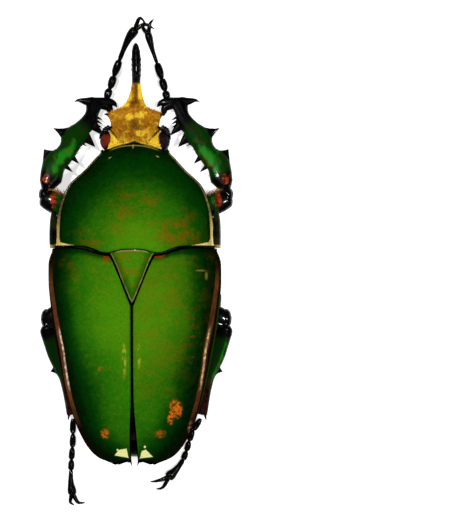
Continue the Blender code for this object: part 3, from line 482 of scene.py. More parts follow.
def read_table(table, at):
    """Reads the columns of a table at many places between its rows, along smooth curves."""
    rows = np.array(sorted(table), float)
    places, values = rows[:, 0], rows[:, 1:]
    steps = np.diff(places)
    rises = np.diff(values, axis=0) / steps[:, None]
    before, after = np.vstack([rises[:1], rises]), np.vstack([rises, rises[-1:]])
    total = np.where(before + after == 0, 1.0, before + after)
    slopes = np.where(before * after > 0, 2 * before * after / total, 0.0)
    at = np.clip(np.asarray(at, float), places[0], places[-1])
    row = np.clip(np.searchsorted(places, at, side="right") - 1, 0, len(steps) - 1)
    step = steps[row][..., None]
    t = (at[..., None] - places[row][..., None]) / step
    rise = (2 * t**3 - 3 * t**2 + 1) * values[row] + (3 * t**2 - 2 * t**3) * values[row + 1]
    bend = (t**3 - 2 * t**2 + t) * slopes[row] + (t**3 - t**2) * slopes[row + 1]
    return rise + bend * step


def read_columns(table, at):
    """The columns of a table at many places, each as an upright array."""
    return (column[:, None] for column in read_table(table, at).T)


def stations(table, rows):
    """Even places from the first row of a table to its last."""
    return np.linspace(table[0][0], table[-1][0], rows)


def even(steps):
    """Shares from 0 to 1."""
    return np.linspace(0, 1, steps)


def whole_turn(sides):
    """Angles around a ring."""
    return np.linspace(0, 2 * math.pi, sides, endpoint=False)


def half_turn(columns):
    """Angles over an arch, from side to side."""
    return math.pi * (even(columns) - 0.5)


def bell(distance, spread):
    """A rounded bump, one high."""
    return np.exp(-((distance / spread) ** 2))


def ease(low, high, value):
    """Runs smoothly from 0 at low to 1 at high."""
    t = np.clip((value - low) / (high - low), 0, 1)
    return t * t * (3 - 2 * t)


def span(start, full, fade, end, value):
    """Runs from 0 to 1 between the first two levels and back between the last two."""
    return ease(start, full, value) * (1 - ease(fade, end, value))


def arch(angle, power):
    """Sine and cosine of a superellipse."""
    across, up = np.sin(angle), np.cos(angle)
    return np.sign(across) * np.abs(across) ** (2 / power), np.sign(up) * np.abs(up) ** (2 / power)


def between(top, low, up):
    """Height in a section, from its underside at -1 to its top at 1."""
    return (top + low) / 2 + (top - low) / 2 * up


def unit(vectors):
    """Scales vectors to one."""
    return vectors / np.maximum(np.linalg.norm(vectors, axis=-1, keepdims=True), 1e-12)


def mirrored(points, side):
    """Places right-hand points on the given side."""
    return np.asarray(points, float) * (side, 1, 1)


def outward_normals(points, centre):
    """Normals of an open grid of points, away from a centre."""
    normals = unit(np.cross(np.gradient(points, axis=1), np.gradient(points, axis=0)))
    return normals * np.sign((normals * (points - centre)).sum(-1, keepdims=True))


def travelled(points, axis):
    """Distance gone over a grid along one axis."""
    steps = np.linalg.norm(np.diff(points, axis=axis), axis=-1)
    zero = np.zeros_like(np.take(steps, [0], axis=axis))
    return np.concatenate([zero, np.cumsum(steps, axis=axis)], axis=axis)


def raised_edge(distance, bead, crest, groove):
    """A bead with a groove behind it. Each is given by its share of the bead's height, place and spread."""
    (height, crest_at, crest_spread), (depth, groove_at, groove_spread) = crest, groove
    ridge = bead * height * bell(distance - crest_at, crest_spread)
    return ridge - bead * depth * bell(distance - groove_at, groove_spread)


def grid_faces(rows, columns, closed):
    """Quads of a grid whose rows are open or closed into rings."""
    i, j = np.meshgrid(np.arange(rows - 1), np.arange(columns if closed else columns - 1), indexing="ij")
    a, b = i * columns + j, i * columns + (j + 1) % columns
    return np.stack([a, b, b + columns, a + columns], -1).reshape(-1, 4)


def sections(x, y, z):
    """Points of rings across the body, each at one place along it."""
    return np.stack([x, y[:, None] + 0 * x, z], -1)


def unit_ball(sides, steps):
    """Rings of a ball of radius one, from its foot up."""
    tilt = np.linspace(0, math.pi, steps + 2)[1:-1, None]
    turn = whole_turn(sides)[None]
    return np.stack([np.sin(tilt) * np.cos(turn), np.sin(tilt) * np.sin(turn), -np.cos(tilt) + 0 * turn], -1)


def padded(marks, columns):
    """Marks of an upper side, with blanks for the columns of the underside."""
    return {name: np.pad(values, ((0, 0), (0, columns))) for name, values in marks.items()}


def hair_marks(rings, shares, growth, lie, **marks):
    """Adds to a piece's marks where its hair grows, how it lies and where it is baked."""
    size = rings.shape[1]
    marks.update(growth=growth, lie=np.broadcast_to(lie, rings.shape), unwrap_u=np.arange(size) / size,
                 unwrap_v=shares[:, None])
    return marks


def put(name, data):
    """Puts an object into the scene."""
    thing = bpy.data.objects.new(name, data)
    bpy.context.scene.collection.objects.link(thing)
    return thing


def read_field(data, field, size, kind=float):
    """Reads one field of many elements."""
    values = np.zeros(size, kind)
    data.foreach_get(field, values)
    return values


class Shape:
    """Gathers the closed parts of one piece, in millimetres, with the marks that its material reads."""

    def __init__(self):
        self.parts = []

    def add(self, points, faces, marks):
        """Adds a closed part and turns its faces outwards."""
        points = np.asarray(points, float)
        volume = 0.0
        for face in faces:
            first = points[face[:, 0]]
            for k in range(1, face.shape[1] - 1):
                volume += np.einsum("ij,ij->", first, np.cross(points[face[:, k]], points[face[:, k + 1]]))
        if volume < 0:
            faces = [face[:, ::-1] for face in faces]
        self.parts.append((points, faces, marks))

    def loft(self, rings, first=None, last=None, marks=None):
        """Adds rings joined into a closed body, with a point in each end and a crisp turn before it."""
        rings = np.asarray(rings, float)
        first = rings[0].mean(0) if first is None else np.asarray(first, float)
        last = rings[-1].mean(0) if last is None else np.asarray(last, float)
        near = [rings[0] + (first - rings[0]) * share for share in END_RINGS]
        far = [rings[-1] + (last - rings[-1]) * share for share in END_RINGS[::-1]]
        rings = np.concatenate([near, rings, far])
        count, size = rings.shape[:2]
        points = np.concatenate([rings.reshape(-1, 3), [first, last]])
        around = np.arange(size)
        start = np.stack([np.full(size, count * size), (around + 1) % size, around], -1)
        base = (count - 1) * size
        end = np.stack([np.full(size, count * size + 1), base + around, base + (around + 1) % size], -1)
        spread = {}
        for name, values in (marks or {}).items():
            values = np.asarray(values, float)
            values = np.broadcast_to(values, (count - 4, size) + values.shape[2:])
            values = np.concatenate([values[:1], values[:1], values, values[-1:], values[-1:]])
            flat = values.reshape((count * size,) + values.shape[2:])
            spread[name] = np.concatenate([flat, [values[0].mean(0)], [values[-1].mean(0)]])
        self.add(points, [grid_faces(count, size, True), start, end], spread)
        return self

    def sweep(self, path, steps, width, thickness, sides, power=2.0):
        """Adds a body along a path."""
        self.loft(swept(path, even(steps), width, thickness, sides, power))

    def spike(self, root, tip, width, thickness, steps, power=1.0):
        """Adds a tapered tooth from its sunk root to its tip."""
        root, tip = np.asarray(root, float), np.asarray(tip, float)
        shares = np.linspace(0, SPIKE_LENGTH, steps)
        half, thick = (size / 2 * (1 - shares) ** power + SPIKE_POINT for size in (width, thickness))
        self.loft(swept(np.array([root, tip]), shares, half, thick, 12), root, tip)

    def ball(self, centre, radii, sides, steps, marks=None):
        """Adds a ball with three radii."""
        rings = unit_ball(sides, steps) * radii + centre
        foot, crown = np.array(centre) - (0, 0, radii[2]), np.array(centre) + (0, 0, radii[2])
        return self.loft(rings, foot, crown, marks)

    def build(self, name, material, slot, *nodes):
        """Makes the piece's object, which rides on the body in place of its solids."""
        points = np.concatenate([part[0] for part in self.parts]) * MM
        faces, base = [], 0
        for part_points, part_faces, _ in self.parts:
            for face in part_faces:
                faces.extend((face + base).tolist())
            base += len(part_points)
        mesh = bpy.data.meshes.new(name)
        mesh.from_pydata(points.tolist(), [], faces)
        names = {mark: np.asarray(values).ndim for part in self.parts for mark, values in part[2].items()}
        for mark, depth in names.items():
            kind, field, width = ("FLOAT_VECTOR", "vector", (3,)) if depth == 2 else ("FLOAT", "value", ())
            values = np.concatenate([marks.get(mark, np.zeros((len(part_points), *width)))
                                     for part_points, _, marks in self.parts]).astype(np.float32)
            mesh.attributes.new(mark, kind, "POINT").data.foreach_set(field, values.ravel())
        mesh.shade_smooth()
        mesh.materials.append(material)
        piece = put(name, mesh)
        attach(piece, "root")
        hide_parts(*nodes)
        return piece


def path_at(path, shares):
    """Points along a smooth curve through a path."""
    path = np.asarray(path, float)
    lengths = np.concatenate([[0], np.cumsum(np.linalg.norm(np.diff(path, axis=0), axis=1))])
    return read_table([(length / lengths[-1], *point) for length, point in zip(lengths, path)], shares)


def path_frame(path, shares):
    """Places along a path with the directions ahead, level across and upright."""
    place = path_at(path, shares)
    before, after = (path_at(path, np.clip(shares + step, 0, 1)) for step in (-PATH_STEP, PATH_STEP))
    ahead = unit(after - before)
    level = unit(np.cross(ahead, (0.0, 0.0, 1.0)))
    return place, ahead, level, np.cross(level, ahead)


def swept(path, shares, width, thickness, sides, power=2.0):
    """Rings along a path. A width or thickness is one number, or one for each ring or each point."""
    place, _, level, upright = path_frame(path, shares)
    across, up = arch(whole_turn(sides), power)
    width, thickness = (value[:, None] if value.ndim == 1 else value
                        for value in (np.asarray(width, float), np.asarray(thickness, float)))
    return (place[:, None] + level[:, None] * (width * across)[..., None]
            + upright[:, None] * (thickness * up)[..., None])


def pronotum_rear(x):
    """Shift of the pronotum's rear edge: a lobe on each side of a shallow arch above the scutellum."""
    return -1.2 * bell(np.abs(x) - 4.6, 2.4) - 0.5 * bell(x, 2.6)


def pronotum_front(x):
    """Shift of its front edge, which bulges over the neck."""
    return np.maximum(0.0, 1 - (x / 4.6) ** 2)


def rear_edge(x):
    """Place along the body of the pronotum's rear edge."""
    return PRONOTUM[-1][0] + pronotum_rear(x)


def from_canthus(x, y):
    """Distance across the ridge beside the eye. The x is counted from the middle."""
    return (x - CANTHUS_PLACE[0]) * CANTHUS_ACROSS[0] + (y - CANTHUS_PLACE[1]) * CANTHUS_ACROSS[1]


def scutellum_half_width(y):
    """Half width of the scutellum at a place along the body."""
    front = rear_edge(SCUTELLUM_HALF_WIDTH) - GAP
    share = np.clip((front - y) / (front - SCUTELLUM_TIP), 0, 1)
    return SCUTELLUM_HALF_WIDTH * (1 - share**SCUTELLUM_CURVE)


def elytron_grid(shares, turns):
    """Points of the right wing case on a grid of shares of its length and of its arch."""
    share, turn = np.meshgrid(shares, turns, indexing="ij")
    x0, y0, z0, x1, y1, z1, power = np.moveaxis(read_table(ELYTRON, share), -1, 0)
    x0 = np.where(y0 > SCUTELLUM_TIP, np.maximum(x0, scutellum_half_width(y0) + GAP), x0)
    across, up = arch(math.pi / 2 * turn, power)
    x, y, z = x0 + (x1 - x0) * across, y0 + (y1 - y0) * across, z1 + (z0 - z1) * up
    _, front_x0, front_y0, _, front_x1, front_y1, _, _ = ELYTRON[0]
    gap = rear_edge(front_x0 + (front_x1 - front_x0) * across) - GAP
    gap = gap - front_y0 - (front_y1 - front_y0) * across
    lead = np.maximum(0, 1 - share / ELYTRON_FRONT_REACH)
    y = y + gap * lead * np.sin(math.pi * np.clip(turn, 0, 1)) ** 0.7
    for bump_x, bump_y, height, spread in ELYTRON_BUMPS:
        z = z + height * np.exp(-((x - bump_x) ** 2 + (y - bump_y) ** 2) / spread**2)
    return np.stack([x, y, z], -1)


def arithmetic(operation, swapped=False):
    """One of Python's operators, which adds a Math node."""
    def method(self, other):
        values = (other, self) if swapped else (self, other)
        return self.nodes.maths(operation, *values)
    return method


class Signal:
    """A node's output socket that takes Python's arithmetic."""

    def __init__(self, nodes, socket):
        self.nodes = nodes
        self.socket = socket

    def beside(self, output):
        """Another output of the same node."""
        return Signal(self.nodes, self.socket.node.outputs[output])

    def ease(self, low, high):
        """Runs smoothly from 0 at low to 1 at high, which may be the smaller."""
        result = self.nodes.node("ShaderNodeMapRange", {"interpolation_type": "SMOOTHSTEP"},
                                 {0: self, 1: min(low, high), 2: max(low, high), 3: 0.0, 4: 1.0})
        return 1 - result if low > high else result

    __add__ = __radd__ = arithmetic("ADD")
    __sub__ = arithmetic("SUBTRACT")
    __rsub__ = arithmetic("SUBTRACT", swapped=True)
    __mul__ = __rmul__ = arithmetic("MULTIPLY")
    __truediv__ = arithmetic("DIVIDE")
    __pow__ = arithmetic("POWER")

    def __abs__(self):
        return self.nodes.maths("ABSOLUTE", self)


class Nodes:
    """Adds nodes to a tree."""

    def __init__(self, tree):
        self.tree = tree

    def link(self, value, socket):
        """Sets a socket to a value or links it."""
        if isinstance(value, Signal):
            self.tree.links.new(value.socket, socket)
        elif socket.type == "RGBA":
            socket.default_value = (*value[:3], 1.0)
        else:
            socket.default_value = value

    def node(self, kind, settings=None, sockets=None, output=0):
        """Adds a node with its settings and its sockets' values or links."""
        node = self.tree.nodes.new(kind)
        for name, value in (settings or {}).items():
            setattr(node, name, value)
        for key, value in (sockets or {}).items():
            self.link(value, node.inputs[key])
        return Signal(self, node.outputs[output])

    def maths(self, operation, *values):
        """A Math node."""
        return self.node("ShaderNodeMath", {"operation": operation}, dict(enumerate(values)))

    def vectors(self, operation, *values):
        """A Vector Math node."""
        return self.node("ShaderNodeVectorMath", {"operation": operation}, dict(enumerate(values)))

    def scaled(self, vector, share):
        """Scales a vector or a colour."""
        return self.node("ShaderNodeVectorMath", {"operation": "SCALE"}, {0: vector, "Scale": share})


class Paint(Nodes):
    """Builds the nodes of one material."""

    def __init__(self, name, specular):
        self.material = bpy.data.materials.new(name)
        self.material.use_nodes = True
        super().__init__(self.material.node_tree)
        self.shader = self.tree.nodes["Principled BSDF"].inputs
        self.shader["Specular IOR Level"].default_value = specular
        self.shader["Coat Roughness"].default_value = COAT_ROUGHNESS
        self.place = self.node("ShaderNodeTexCoord", output="Object")
        split = self.node("ShaderNodeSeparateXYZ", None, {0: self.place})
        self.x, self.y, self.z = (split.beside(i) * 1000 for i in range(3))

    def least(self, one, other):
        """The smaller of two values."""
        return self.maths("MINIMUM", one, other)

    def most(self, value, *others):
        """The largest of several values."""
        for other in others:
            value = self.maths("MAXIMUM", value, other)
        return value

    def mark(self, name):
        """One of the piece's marks."""
        return self.node("ShaderNodeAttribute", {"attribute_name": name}, output="Fac")

    def noise(self, size, detail=3.0, stretch=None, rough=0.55):
        """Cloudy variation around one half. Its size is in millimetres."""
        place = self.vectors("MULTIPLY", self.place, stretch) if stretch else self.place
        return self.node("ShaderNodeTexNoise", None,
                         {"Vector": place, "Scale": 1000 / size, "Detail": detail, "Roughness": rough})

    def waver(self, amount, size, detail=3.0, stretch=None):
        """Cloudy variation around zero."""
        return (self.noise(size, detail, stretch) - 0.5) * amount

    def clouds(self, low, high, size, detail=3.0, stretch=None, rough=0.55):
        """Cloudy patches, with soft edges between two levels of the variation."""
        return self.noise(size, detail, stretch, rough).ease(low, high)

    def cells(self, size):
        """Distance to scattered points. Its size is in millimetres."""
        return self.node("ShaderNodeTexVoronoi", {"feature": "F1"},
                         {"Vector": self.place, "Scale": 1000 / size}, output="Distance")

    def pits(self, depth, size, edge=0.36, floor=0.08):
        """Round pits, in millimetres of height."""
        return self.cells(size).ease(edge, floor) * -depth

    def mix(self, share, start, end):
        """Mixes two colours."""
        return self.node("ShaderNodeMix", {"data_type": "RGBA"}, {0: share, 6: start, 7: end}, output=2)

    def layered(self, colour, *layers):
        """Lays colours over one another, each by its share."""
        for share, over in layers:
            colour = self.mix(share, colour, over)
        return colour

    def patch(self, x, y, wide, long, soft, wander=0.0, strength=1.0):
        """Its strength inside an oval on the plan and none outside it."""
        across, along = (self.x - x) / wide, (self.y - y) / long
        reach = (across * across + along * along) ** 0.5
        if wander:
            reach = reach + self.waver(wander, 0.9)
        inside = reach.ease(1 + soft, 1 - soft)
        return inside if strength == 1.0 else inside * strength

    def patches(self, spots):
        """The strongest of several ovals."""
        return self.most(*(self.patch(*spot) for spot in spots))

    def corners(self, points, soft=0.08):
        """One inside a convex outline on the plan, given clockwise."""
        inside = None
        for (ax, ay), (bx, by) in zip(points, points[1:] + points[:1]):
            length = math.hypot(bx - ax, by - ay)
            nx, ny = (by - ay) / length, (ax - bx) / length
            depth = self.x * nx + self.y * ny - (ax * nx + ay * ny)
            inside = depth if inside is None else self.least(inside, depth)
        return inside.ease(-soft, soft)

    def finish(self, colour, roughness, height=None, coat=None):
        """Joins what varies over the surface to the shader. The height is in millimetres."""
        self.link(colour, self.shader["Base Color"])
        self.link(roughness, self.shader["Roughness"])
        if coat is not None:
            self.link(coat, self.shader["Coat Weight"])
        if height is not None:
            bump = self.node("ShaderNodeBump", None, {"Height": height, "Distance": MM, "Strength": 1.0})
            self.link(bump, self.shader["Normal"])
        return self.material


def colour_property(name, description, colour):
    """A colour that a user may change."""
    return bpy.props.FloatVectorProperty(name=name, description=description, default=colour, subtype="COLOR",
                                         size=3, min=0.0, max=1.0)


def length_property(name, description, millimetres):
    """A length that a user may change."""
    return bpy.props.FloatProperty(name=name, description=description, default=millimetres * MM,
                                   subtype="DISTANCE", unit="LENGTH", min=0.0, precision=5)


class BeetleColours(bpy.types.PropertyGroup):
    """Colours of the shell, the down and the limbs."""

    green: colour_property("Green", "Open green of the wing cases", (0.022, 0.150, 0.002))
    # The lightest, deep and black green grade the shell by its painted light and shade; its darker margins
    # are partly its own colour
    bright: colour_property("Bright green", "Lightest green of the shell", (0.066, 0.245, 0.003))
    deep: colour_property("Deep green", "Green towards the margins", (0.0012, 0.036, 0.001))
    shade: colour_property("Black green", "Darkest green at the margins", (0.001, 0.006, 0.001))
    rust: colour_property("Rust", "Cloudy patches in the green", (0.17, 0.115, 0.002))
    orange: colour_property("Orange", "Spots on the rear slope", (0.65, 0.14, 0.008))
    # Copper is the ridge's colour; on the wing cases it is painted partly as a highlight
    copper: colour_property("Copper", "Ridge along the wing cases", (0.17, 0.055, 0.016))
    cream: colour_property("Cream", "Lines of the pronotum and the scutellum", (0.70, 0.53, 0.17))
    gold: colour_property("Gold", "Down on the head", (0.50, 0.20, 0.006))
    straw: colour_property("Straw", "Palest down on the head", (1.0, 0.72, 0.05))
    umber: colour_property("Umber", "Dark streaks on the head", (0.11, 0.045, 0.002))
    black: colour_property("Black", "Horn, teeth and feet", (0.0012, 0.0012, 0.0012))
    # Leg green is partly painted highlight on the upper side of the legs
    leg_green: colour_property("Leg green", "Green of the shins", (0.008, 0.2, 0.005))
    leg_red: colour_property("Leg red", "Red of the knees", (0.26, 0.03, 0.004))
    olive: colour_property("Olive", "Underside of the trunk", (0.018, 0.022, 0.005))
    eye: colour_property("Eye", "Red brown of the eyes", (0.17, 0.016, 0.004))
    hair: colour_property("Hair", "Fringes of the thighs and breast", (0.36, 0.17, 0.05))


class BeetleSizes(bpy.types.PropertyGroup):
    """Sizes of the fine forms."""

    wall: length_property("Wing case wall", "Thickness of a wing case", 0.42)
    bead: length_property("Bead", "Height of the raised edge of the shell plates", 0.16)
    rib: length_property("Rib", "Height of the faint ribs of a wing case", 0.05)
    down: length_property("Down", "Length of the down on the head", 0.42)
    fringe: length_property("Fringe", "Length of the hair of the thighs and breast", 1.1)
    bristle: length_property("Bristle", "Length of the bristles of the feet", 0.75)
    floor: length_property("Floor", "Width of the floor", 3000.0)


def colours():
    """The scene's colours."""
    return bpy.context.scene.beetle_colours


def sizes():
    """The scene's sizes."""
    return bpy.context.scene.beetle_sizes


def punctures(paint):
    """Fine pits and grain, in millimetres of height."""
    return paint.pits(0.018, 0.32, 0.32, 0.05) + paint.waver(0.012, 0.12, 2.0)


def shell_green(paint, light, rust_zone):
    """The velvety green, from black green through deep green to its lightest by the painted light and shade
    of the light mark, with its cloudy rust.
    """
    tone = colours()
    grain = paint.noise(0.35, 2.0)
    mottle = paint.noise(0.8, 4.0, rough=0.75)
    light = light + paint.waver(0.22, 3.6, 4.0) + (mottle - 0.5) * 0.3
    green = paint.layered(
        tone.shade,
        (light.ease(0.02, 0.36), tone.deep),
        (light.ease(0.28, 0.78), tone.green),
        (light.ease(0.7, 1.05), tone.bright),
    )
    cloud = paint.noise(2.6, 5.0, (0.75, 1.1, 1.0), 0.65)
    rust = (cloud + (grain - 0.5) * 0.2).ease(0.44, 0.64) * rust_zone
    rust = paint.most(rust, mottle.ease(0.53, 0.66) * light.ease(0.35, 0.8) * 0.35)
    # The rust is darkened by the same painted shade
    rusty = paint.scaled(tone.rust, light.ease(0.1, 0.95) * 0.75 + 0.25)
    return paint.scaled(paint.mix(rust, green, rusty), grain * 0.55 + 0.7)


def pronotum_material():
    """Velvet green with painted light and shade, a cream line inside a black bead, painted shadow along the
    rear edge and painted highlights by the front edge.
    """
    tone = colours()
    paint = Paint("pronotum_velvet", 0.0)
    side = paint.mark("side")
    zone = paint.patches(PRONOTUM_RUST) * (1 - paint.patch(*PRONOTUM_HOLLOW)) * 0.95
    green = shell_green(paint, paint.mark("light"), zone)
    line = paint.mark("cream") * side.ease(0.12, 0.2)
    pale = paint.scaled(tone.cream, paint.noise(0.7) * 0.7 + paint.y.ease(9.0, 3.2) * 1.15 - 0.12)
    edge = side.ease(0.24, 0.14)
    # Black along the rear edge away from the middle: painted shadow of the gap under the edge
    rear = paint.mark("rear").ease(0.16, 0.04) * abs(paint.x).ease(3.0, 4.6)
    # The nick mark also carries painted highlights, the small glints by the front edge
    colour = paint.layered(green, (line, pale), (paint.most(edge, rear), tone.black),
                           (paint.mark("nick"), paint.scaled(tone.cream, 0.8)))
    gloss = paint.most(line, edge)
    rough = 0.52 - gloss * 0.15 + paint.waver(0.1, 0.6, 2.0)
    return paint.finish(colour, rough, punctures(paint) * (1 - gloss), line * 0.2)


def wing_green(paint, right):
    """The green of the wing cases with its rust, freckles, red shoulders, orange spots and glints."""
    tone, lead, y = colours(), paint.mark("lead"), paint.y
    fore = lead.ease(1.3, 0.3) * abs(paint.x).ease(8.0, 4.0)
    zone = paint.most(paint.patches(WING_RUST), fore) * (right * 0.2 + 0.6)
    light = paint.mark("light") * (1 - paint.patch(*WING_DARK))
    olive = right * 0.14 * y.ease(-26.0, -14.0) * light.ease(0.4, 0.8)
    freckles = paint.clouds(0.6, 0.68, 0.9, stretch=(0.6, 1.8, 1.0)) * paint.patch(*WING_FRECKLES)
    right_red, left_red = (paint.patch(*spot) for spot in WING_RED)
    red = paint.most(lead.ease(0.8, 0.2) * right_red, left_red) * 0.9
    orange = paint.patches(WING_ORANGE) * paint.clouds(0.43, 0.58, 0.5, 5.0, rough=0.7)
    glints = paint.patches(SUTURE_GLINTS) * paint.clouds(0.42, 0.58, 0.55, 4.0, (1.0, 0.5, 1.0))
    return paint.layered(shell_green(paint, light, zone), (olive, OLIVE_CAST), (freckles, FRECKLE_RED),
                         (red, tone.leg_red), (orange, tone.orange), (glints, SUTURE_GLINT))


def elytron_material():
    """Velvet green that darkens towards a copper ridge, partly its own colour and partly painted shade, with
    painted highlights on the ridge and orange and cream spots behind.
    """
    tone = colours()
    paint = Paint("elytron_velvet", 0.0)
    y, fall, inner, lead = paint.y, paint.mark("fall"), paint.mark("inner"), paint.mark("lead")
    right = paint.x.ease(-0.5, 0.5)
    ridge = paint.mark("ridge") - (1 - right) * 0.4
    # Outside the ridge the outer wall is black brown and dim green further down: partly the wall's own dark
    # colour and partly painted shade on the steep side
    below = ridge.ease(0.25, -0.2)
    ends = fall.ease(-1.6, -0.9) * y.ease(-30.0, -24.5) * y.ease(0.0, -4.5)
    # The copper band along the ridge: its own copper colour, partly painted highlight, varied by noise and
    # dimmer on the right
    band = ridge.ease(-0.75, -0.55) * (ridge - right * 0.2).ease(0.22, 0.05) * ends
    copper = paint.noise(0.9) * 0.8 + paint.noise(4.0, 2.0) * 1.2 - right * 0.25 - 0.3
    flicker = paint.clouds(0.42, 0.6, 0.7, 4.0)
    shine = y.ease(-11.0, -13.5) * y.ease(-23.5, -20.5)
    shine = shine * (abs(ridge) - right * 0.06).ease(0.18, 0.05) * (flicker * 0.7 + 0.3)
    # Painted highlight at the rear end of the copper band on the right
    tail_highlight = paint.patch(*TAIL_HIGHLIGHT) * fall.ease(-1.8, -1.1) * flicker * 0.8
    # Painted highlight along the outer edge of the left shoulder
    shoulder_highlight = paint.mark("inset").ease(0.4, 0.15) * paint.patch(*SHOULDER_HIGHLIGHT_PATCH)
    shoulder_highlight = shoulder_highlight * fall.ease(-2.0, -1.3) * 0.8
    tips = [paint.corners(corners) for corners in TIP_CREAM]
    cream = paint.most(*tips, paint.patches(TIP_DOTS)) * paint.clouds(0.3, 0.42, 0.4, 4.0, rough=0.7)
    rim = paint.mark("tip").ease(1.0, 0.75)
    # Black along the seam and the front edge: the edges' own dark colour together with painted shade of the
    # gaps beside them, and on the rim at the tip
    black = paint.most(inner.ease(0.12, 0.05), rim, lead.ease(0.22, 0.08))
    colour = paint.layered(
        wing_green(paint, right),
        (below, paint.mix(paint.noise(1.4), tone.black, WALL_SHADE_BROWN)),
        (fall.ease(-3.2, -4.8), paint.scaled(tone.green, 0.35)),
        (band, paint.scaled(tone.copper, copper)),
        (shine, paint.mix(right, *COPPER_GLEAM)),
        (tail_highlight, TAIL_GLEAM),
        (shoulder_highlight, SHOULDER_HIGHLIGHT_CREAM),
        (paint.patches(SHOULDER_GLINTS) * 0.45, SHOULDER_GLEAM),
        (cream, TIP_PALE),
        (black, tone.black),
    )
    gloss = paint.most(below, band, rim, cream)
    rough = 0.5 - gloss * 0.26 + paint.waver(0.1, 0.6, 2.0)
    height = punctures(paint) * (1 - gloss * 0.7) + paint.waver(0.03, 2.6, 2.0)
    return paint.finish(colour, rough, height, paint.most(shine, cream) * 0.2)


def scutellum_material():
    """Green that turns rusty in front and darkens towards its edges as painted shade, inside a pale line and
    a black groove painted as shade.
    """
    tone = colours()
    paint = Paint("scutellum_velvet", 0.0)
    side, front = paint.mark("side"), paint.mark("front")
    # Painted shade: the green darkens towards the edges
    light = side.ease(-0.2, 1.6) * 0.45 + 0.45
    green = shell_green(paint, light, paint.y.ease(-4.5, 0.5) * 0.7 + 0.3)
    line = (side + paint.waver(0.1, 0.7)).ease(0.1, 0.15) * side.ease(0.3, 0.22)
    fore = front.ease(0.34, 0.24) * front.ease(0.02, 0.08) * abs(paint.x).ease(3.0, 2.3)
    pale = paint.scaled(tone.cream, paint.noise(1.1) - 0.12)
    colour = paint.layered(
        green,
        (paint.most(line * 0.85, fore), pale),
        # Painted shade: black in the groove along the edge
        (side.ease(0.12, 0.05), tone.black),
        (paint.patch(*SCUTELLUM_DOT), DOT_PALE),
    )
    return paint.finish(colour, 0.45 - line * 0.15, punctures(paint) * (1 - line), line * 0.2)


def down_colour(paint):
    """The gold of the down: orange in the hollows, straw on the cheeks and streaked umber below the horn."""
    tone = colours()
    x, y = abs(paint.x), paint.y
    cloud = paint.noise(1.3, 5.0, rough=0.75)
    bright = paint.most(
        from_canthus(x, y).ease(-0.15, 0.45) * y.ease(24.4, 23.6) * (cloud * 0.5 + 0.6),
        y.ease(22.4, 21.4) * x.ease(0.6, 1.6) * 0.35,
        paint.patches(HEAD_STRAW),
        x.ease(0.7, 1.4) * y.ease(26.8, 27.8) * 0.5,
        x.ease(0.4, 0.8) * y.ease(28.2, 29.4) * 0.7,
    )
    gold = paint.mix((cloud + bright * 0.45 - 0.06).ease(0.4, 0.7), tone.gold, tone.straw)
    cheek = paint.clouds(0.46, 0.6, 0.9, 4.0) * y.ease(23.8, 22.9) * y.ease(21.9, 22.5)
    streak = abs(paint.x - 0.3).ease(0.6, 0.08) * y.ease(27.0, 28.6)
    dark = paint.most(
        paint.clouds(0.57, 0.67, 0.5, 4.0, rough=0.7) * (1 - bright * 0.6) * 0.7,
        streak * (paint.noise(0.6) * 0.6 + 0.5),
        paint.patch(*HEAD_DIP),
        cheek * x.ease(3.0, 1.6) * 0.35,
    )
    return paint.layered(gold, (dark, tone.umber), (paint.patch(*HORN_RUST), HEAD_RUST))


def head_material():
    """Golden down, speckled and streaked with umber, with black points at the front corners."""
    paint = Paint("head_gold", 0.06)
    x, y = abs(paint.x), paint.y
    across = from_canthus(x, y)
    canthus = abs(across + (x - CANTHUS_PLACE[0]) * 0.1).ease(0.26, 0.1) * 0.95
    canthus = canthus * y.ease(21.2, 21.5) * y.ease(24.0, 23.6)
    beside = abs(across - 0.5).ease(0.26, 0.08) * 0.6
    beside = beside * y.ease(21.8, 22.2) * y.ease(24.2, 23.6)
    point = (x + y.ease(25.3, 26.4) * 0.25).ease(4.55, 4.8) * y.ease(25.0, 25.5)
    under = paint.z.ease(8.0, 7.2)
    neck = (y + x * 0.42).ease(21.4, 21.2) * x.ease(1.9, 1.5)
    colour = paint.layered(down_colour(paint), (beside, CANTHUS_PALE), (canthus, CANTHUS_DARK),
                           (paint.most(point, under), colours().black), (neck, NECK_GREEN))
    height = paint.waver(0.09, 0.18, stretch=(1.0, 0.35, 1.0))
    return paint.finish(colour, 0.62 - point * 0.35, height * (1 - point))


def horn_material():
    """Gold at the root and black towards the tip."""
    paint = Paint("horn_gold_black", 0.05)
    y = paint.y
    black = (y + paint.waver(1.0, 0.45, 4.0)).ease(HORN_BLACK_FROM - 0.45, HORN_BLACK_FROM + 0.25)
    colour = paint.mix(black, down_colour(paint), colours().black)
    height = paint.pits(0.05, 0.5, 0.36, 0.1) + paint.waver(0.02, 0.14)
    wet = black * y.ease(35.2, 33.6) * paint.clouds(0.44, 0.52, 0.5)
    knobs = paint.waver(0.5, 0.55, 2.0) * y.ease(35.6, 33.6) * black
    return paint.finish(colour, 0.6 - black * 0.4, height + knobs, wet * 0.8 + black * 0.02)


def chitin_material(name, warmth=0.0):
    """Glossy black with fine pits and scratches."""
    paint = Paint(name, 0.05)
    colour = paint.mix(paint.clouds(0.5, 0.75, 1.6, 5.0) * (0.3 + warmth), colours().black, WORN_CHITIN)
    height = paint.pits(0.012, 0.3, 0.34) + paint.waver(0.01, 0.25, stretch=(1.0, 0.3, 1.0))
    wet = paint.clouds(0.5, 0.62, 1.1) * 0.4 + 0.01
    return paint.finish(colour, paint.noise(0.8) * 0.2 + 0.12, height, wet)


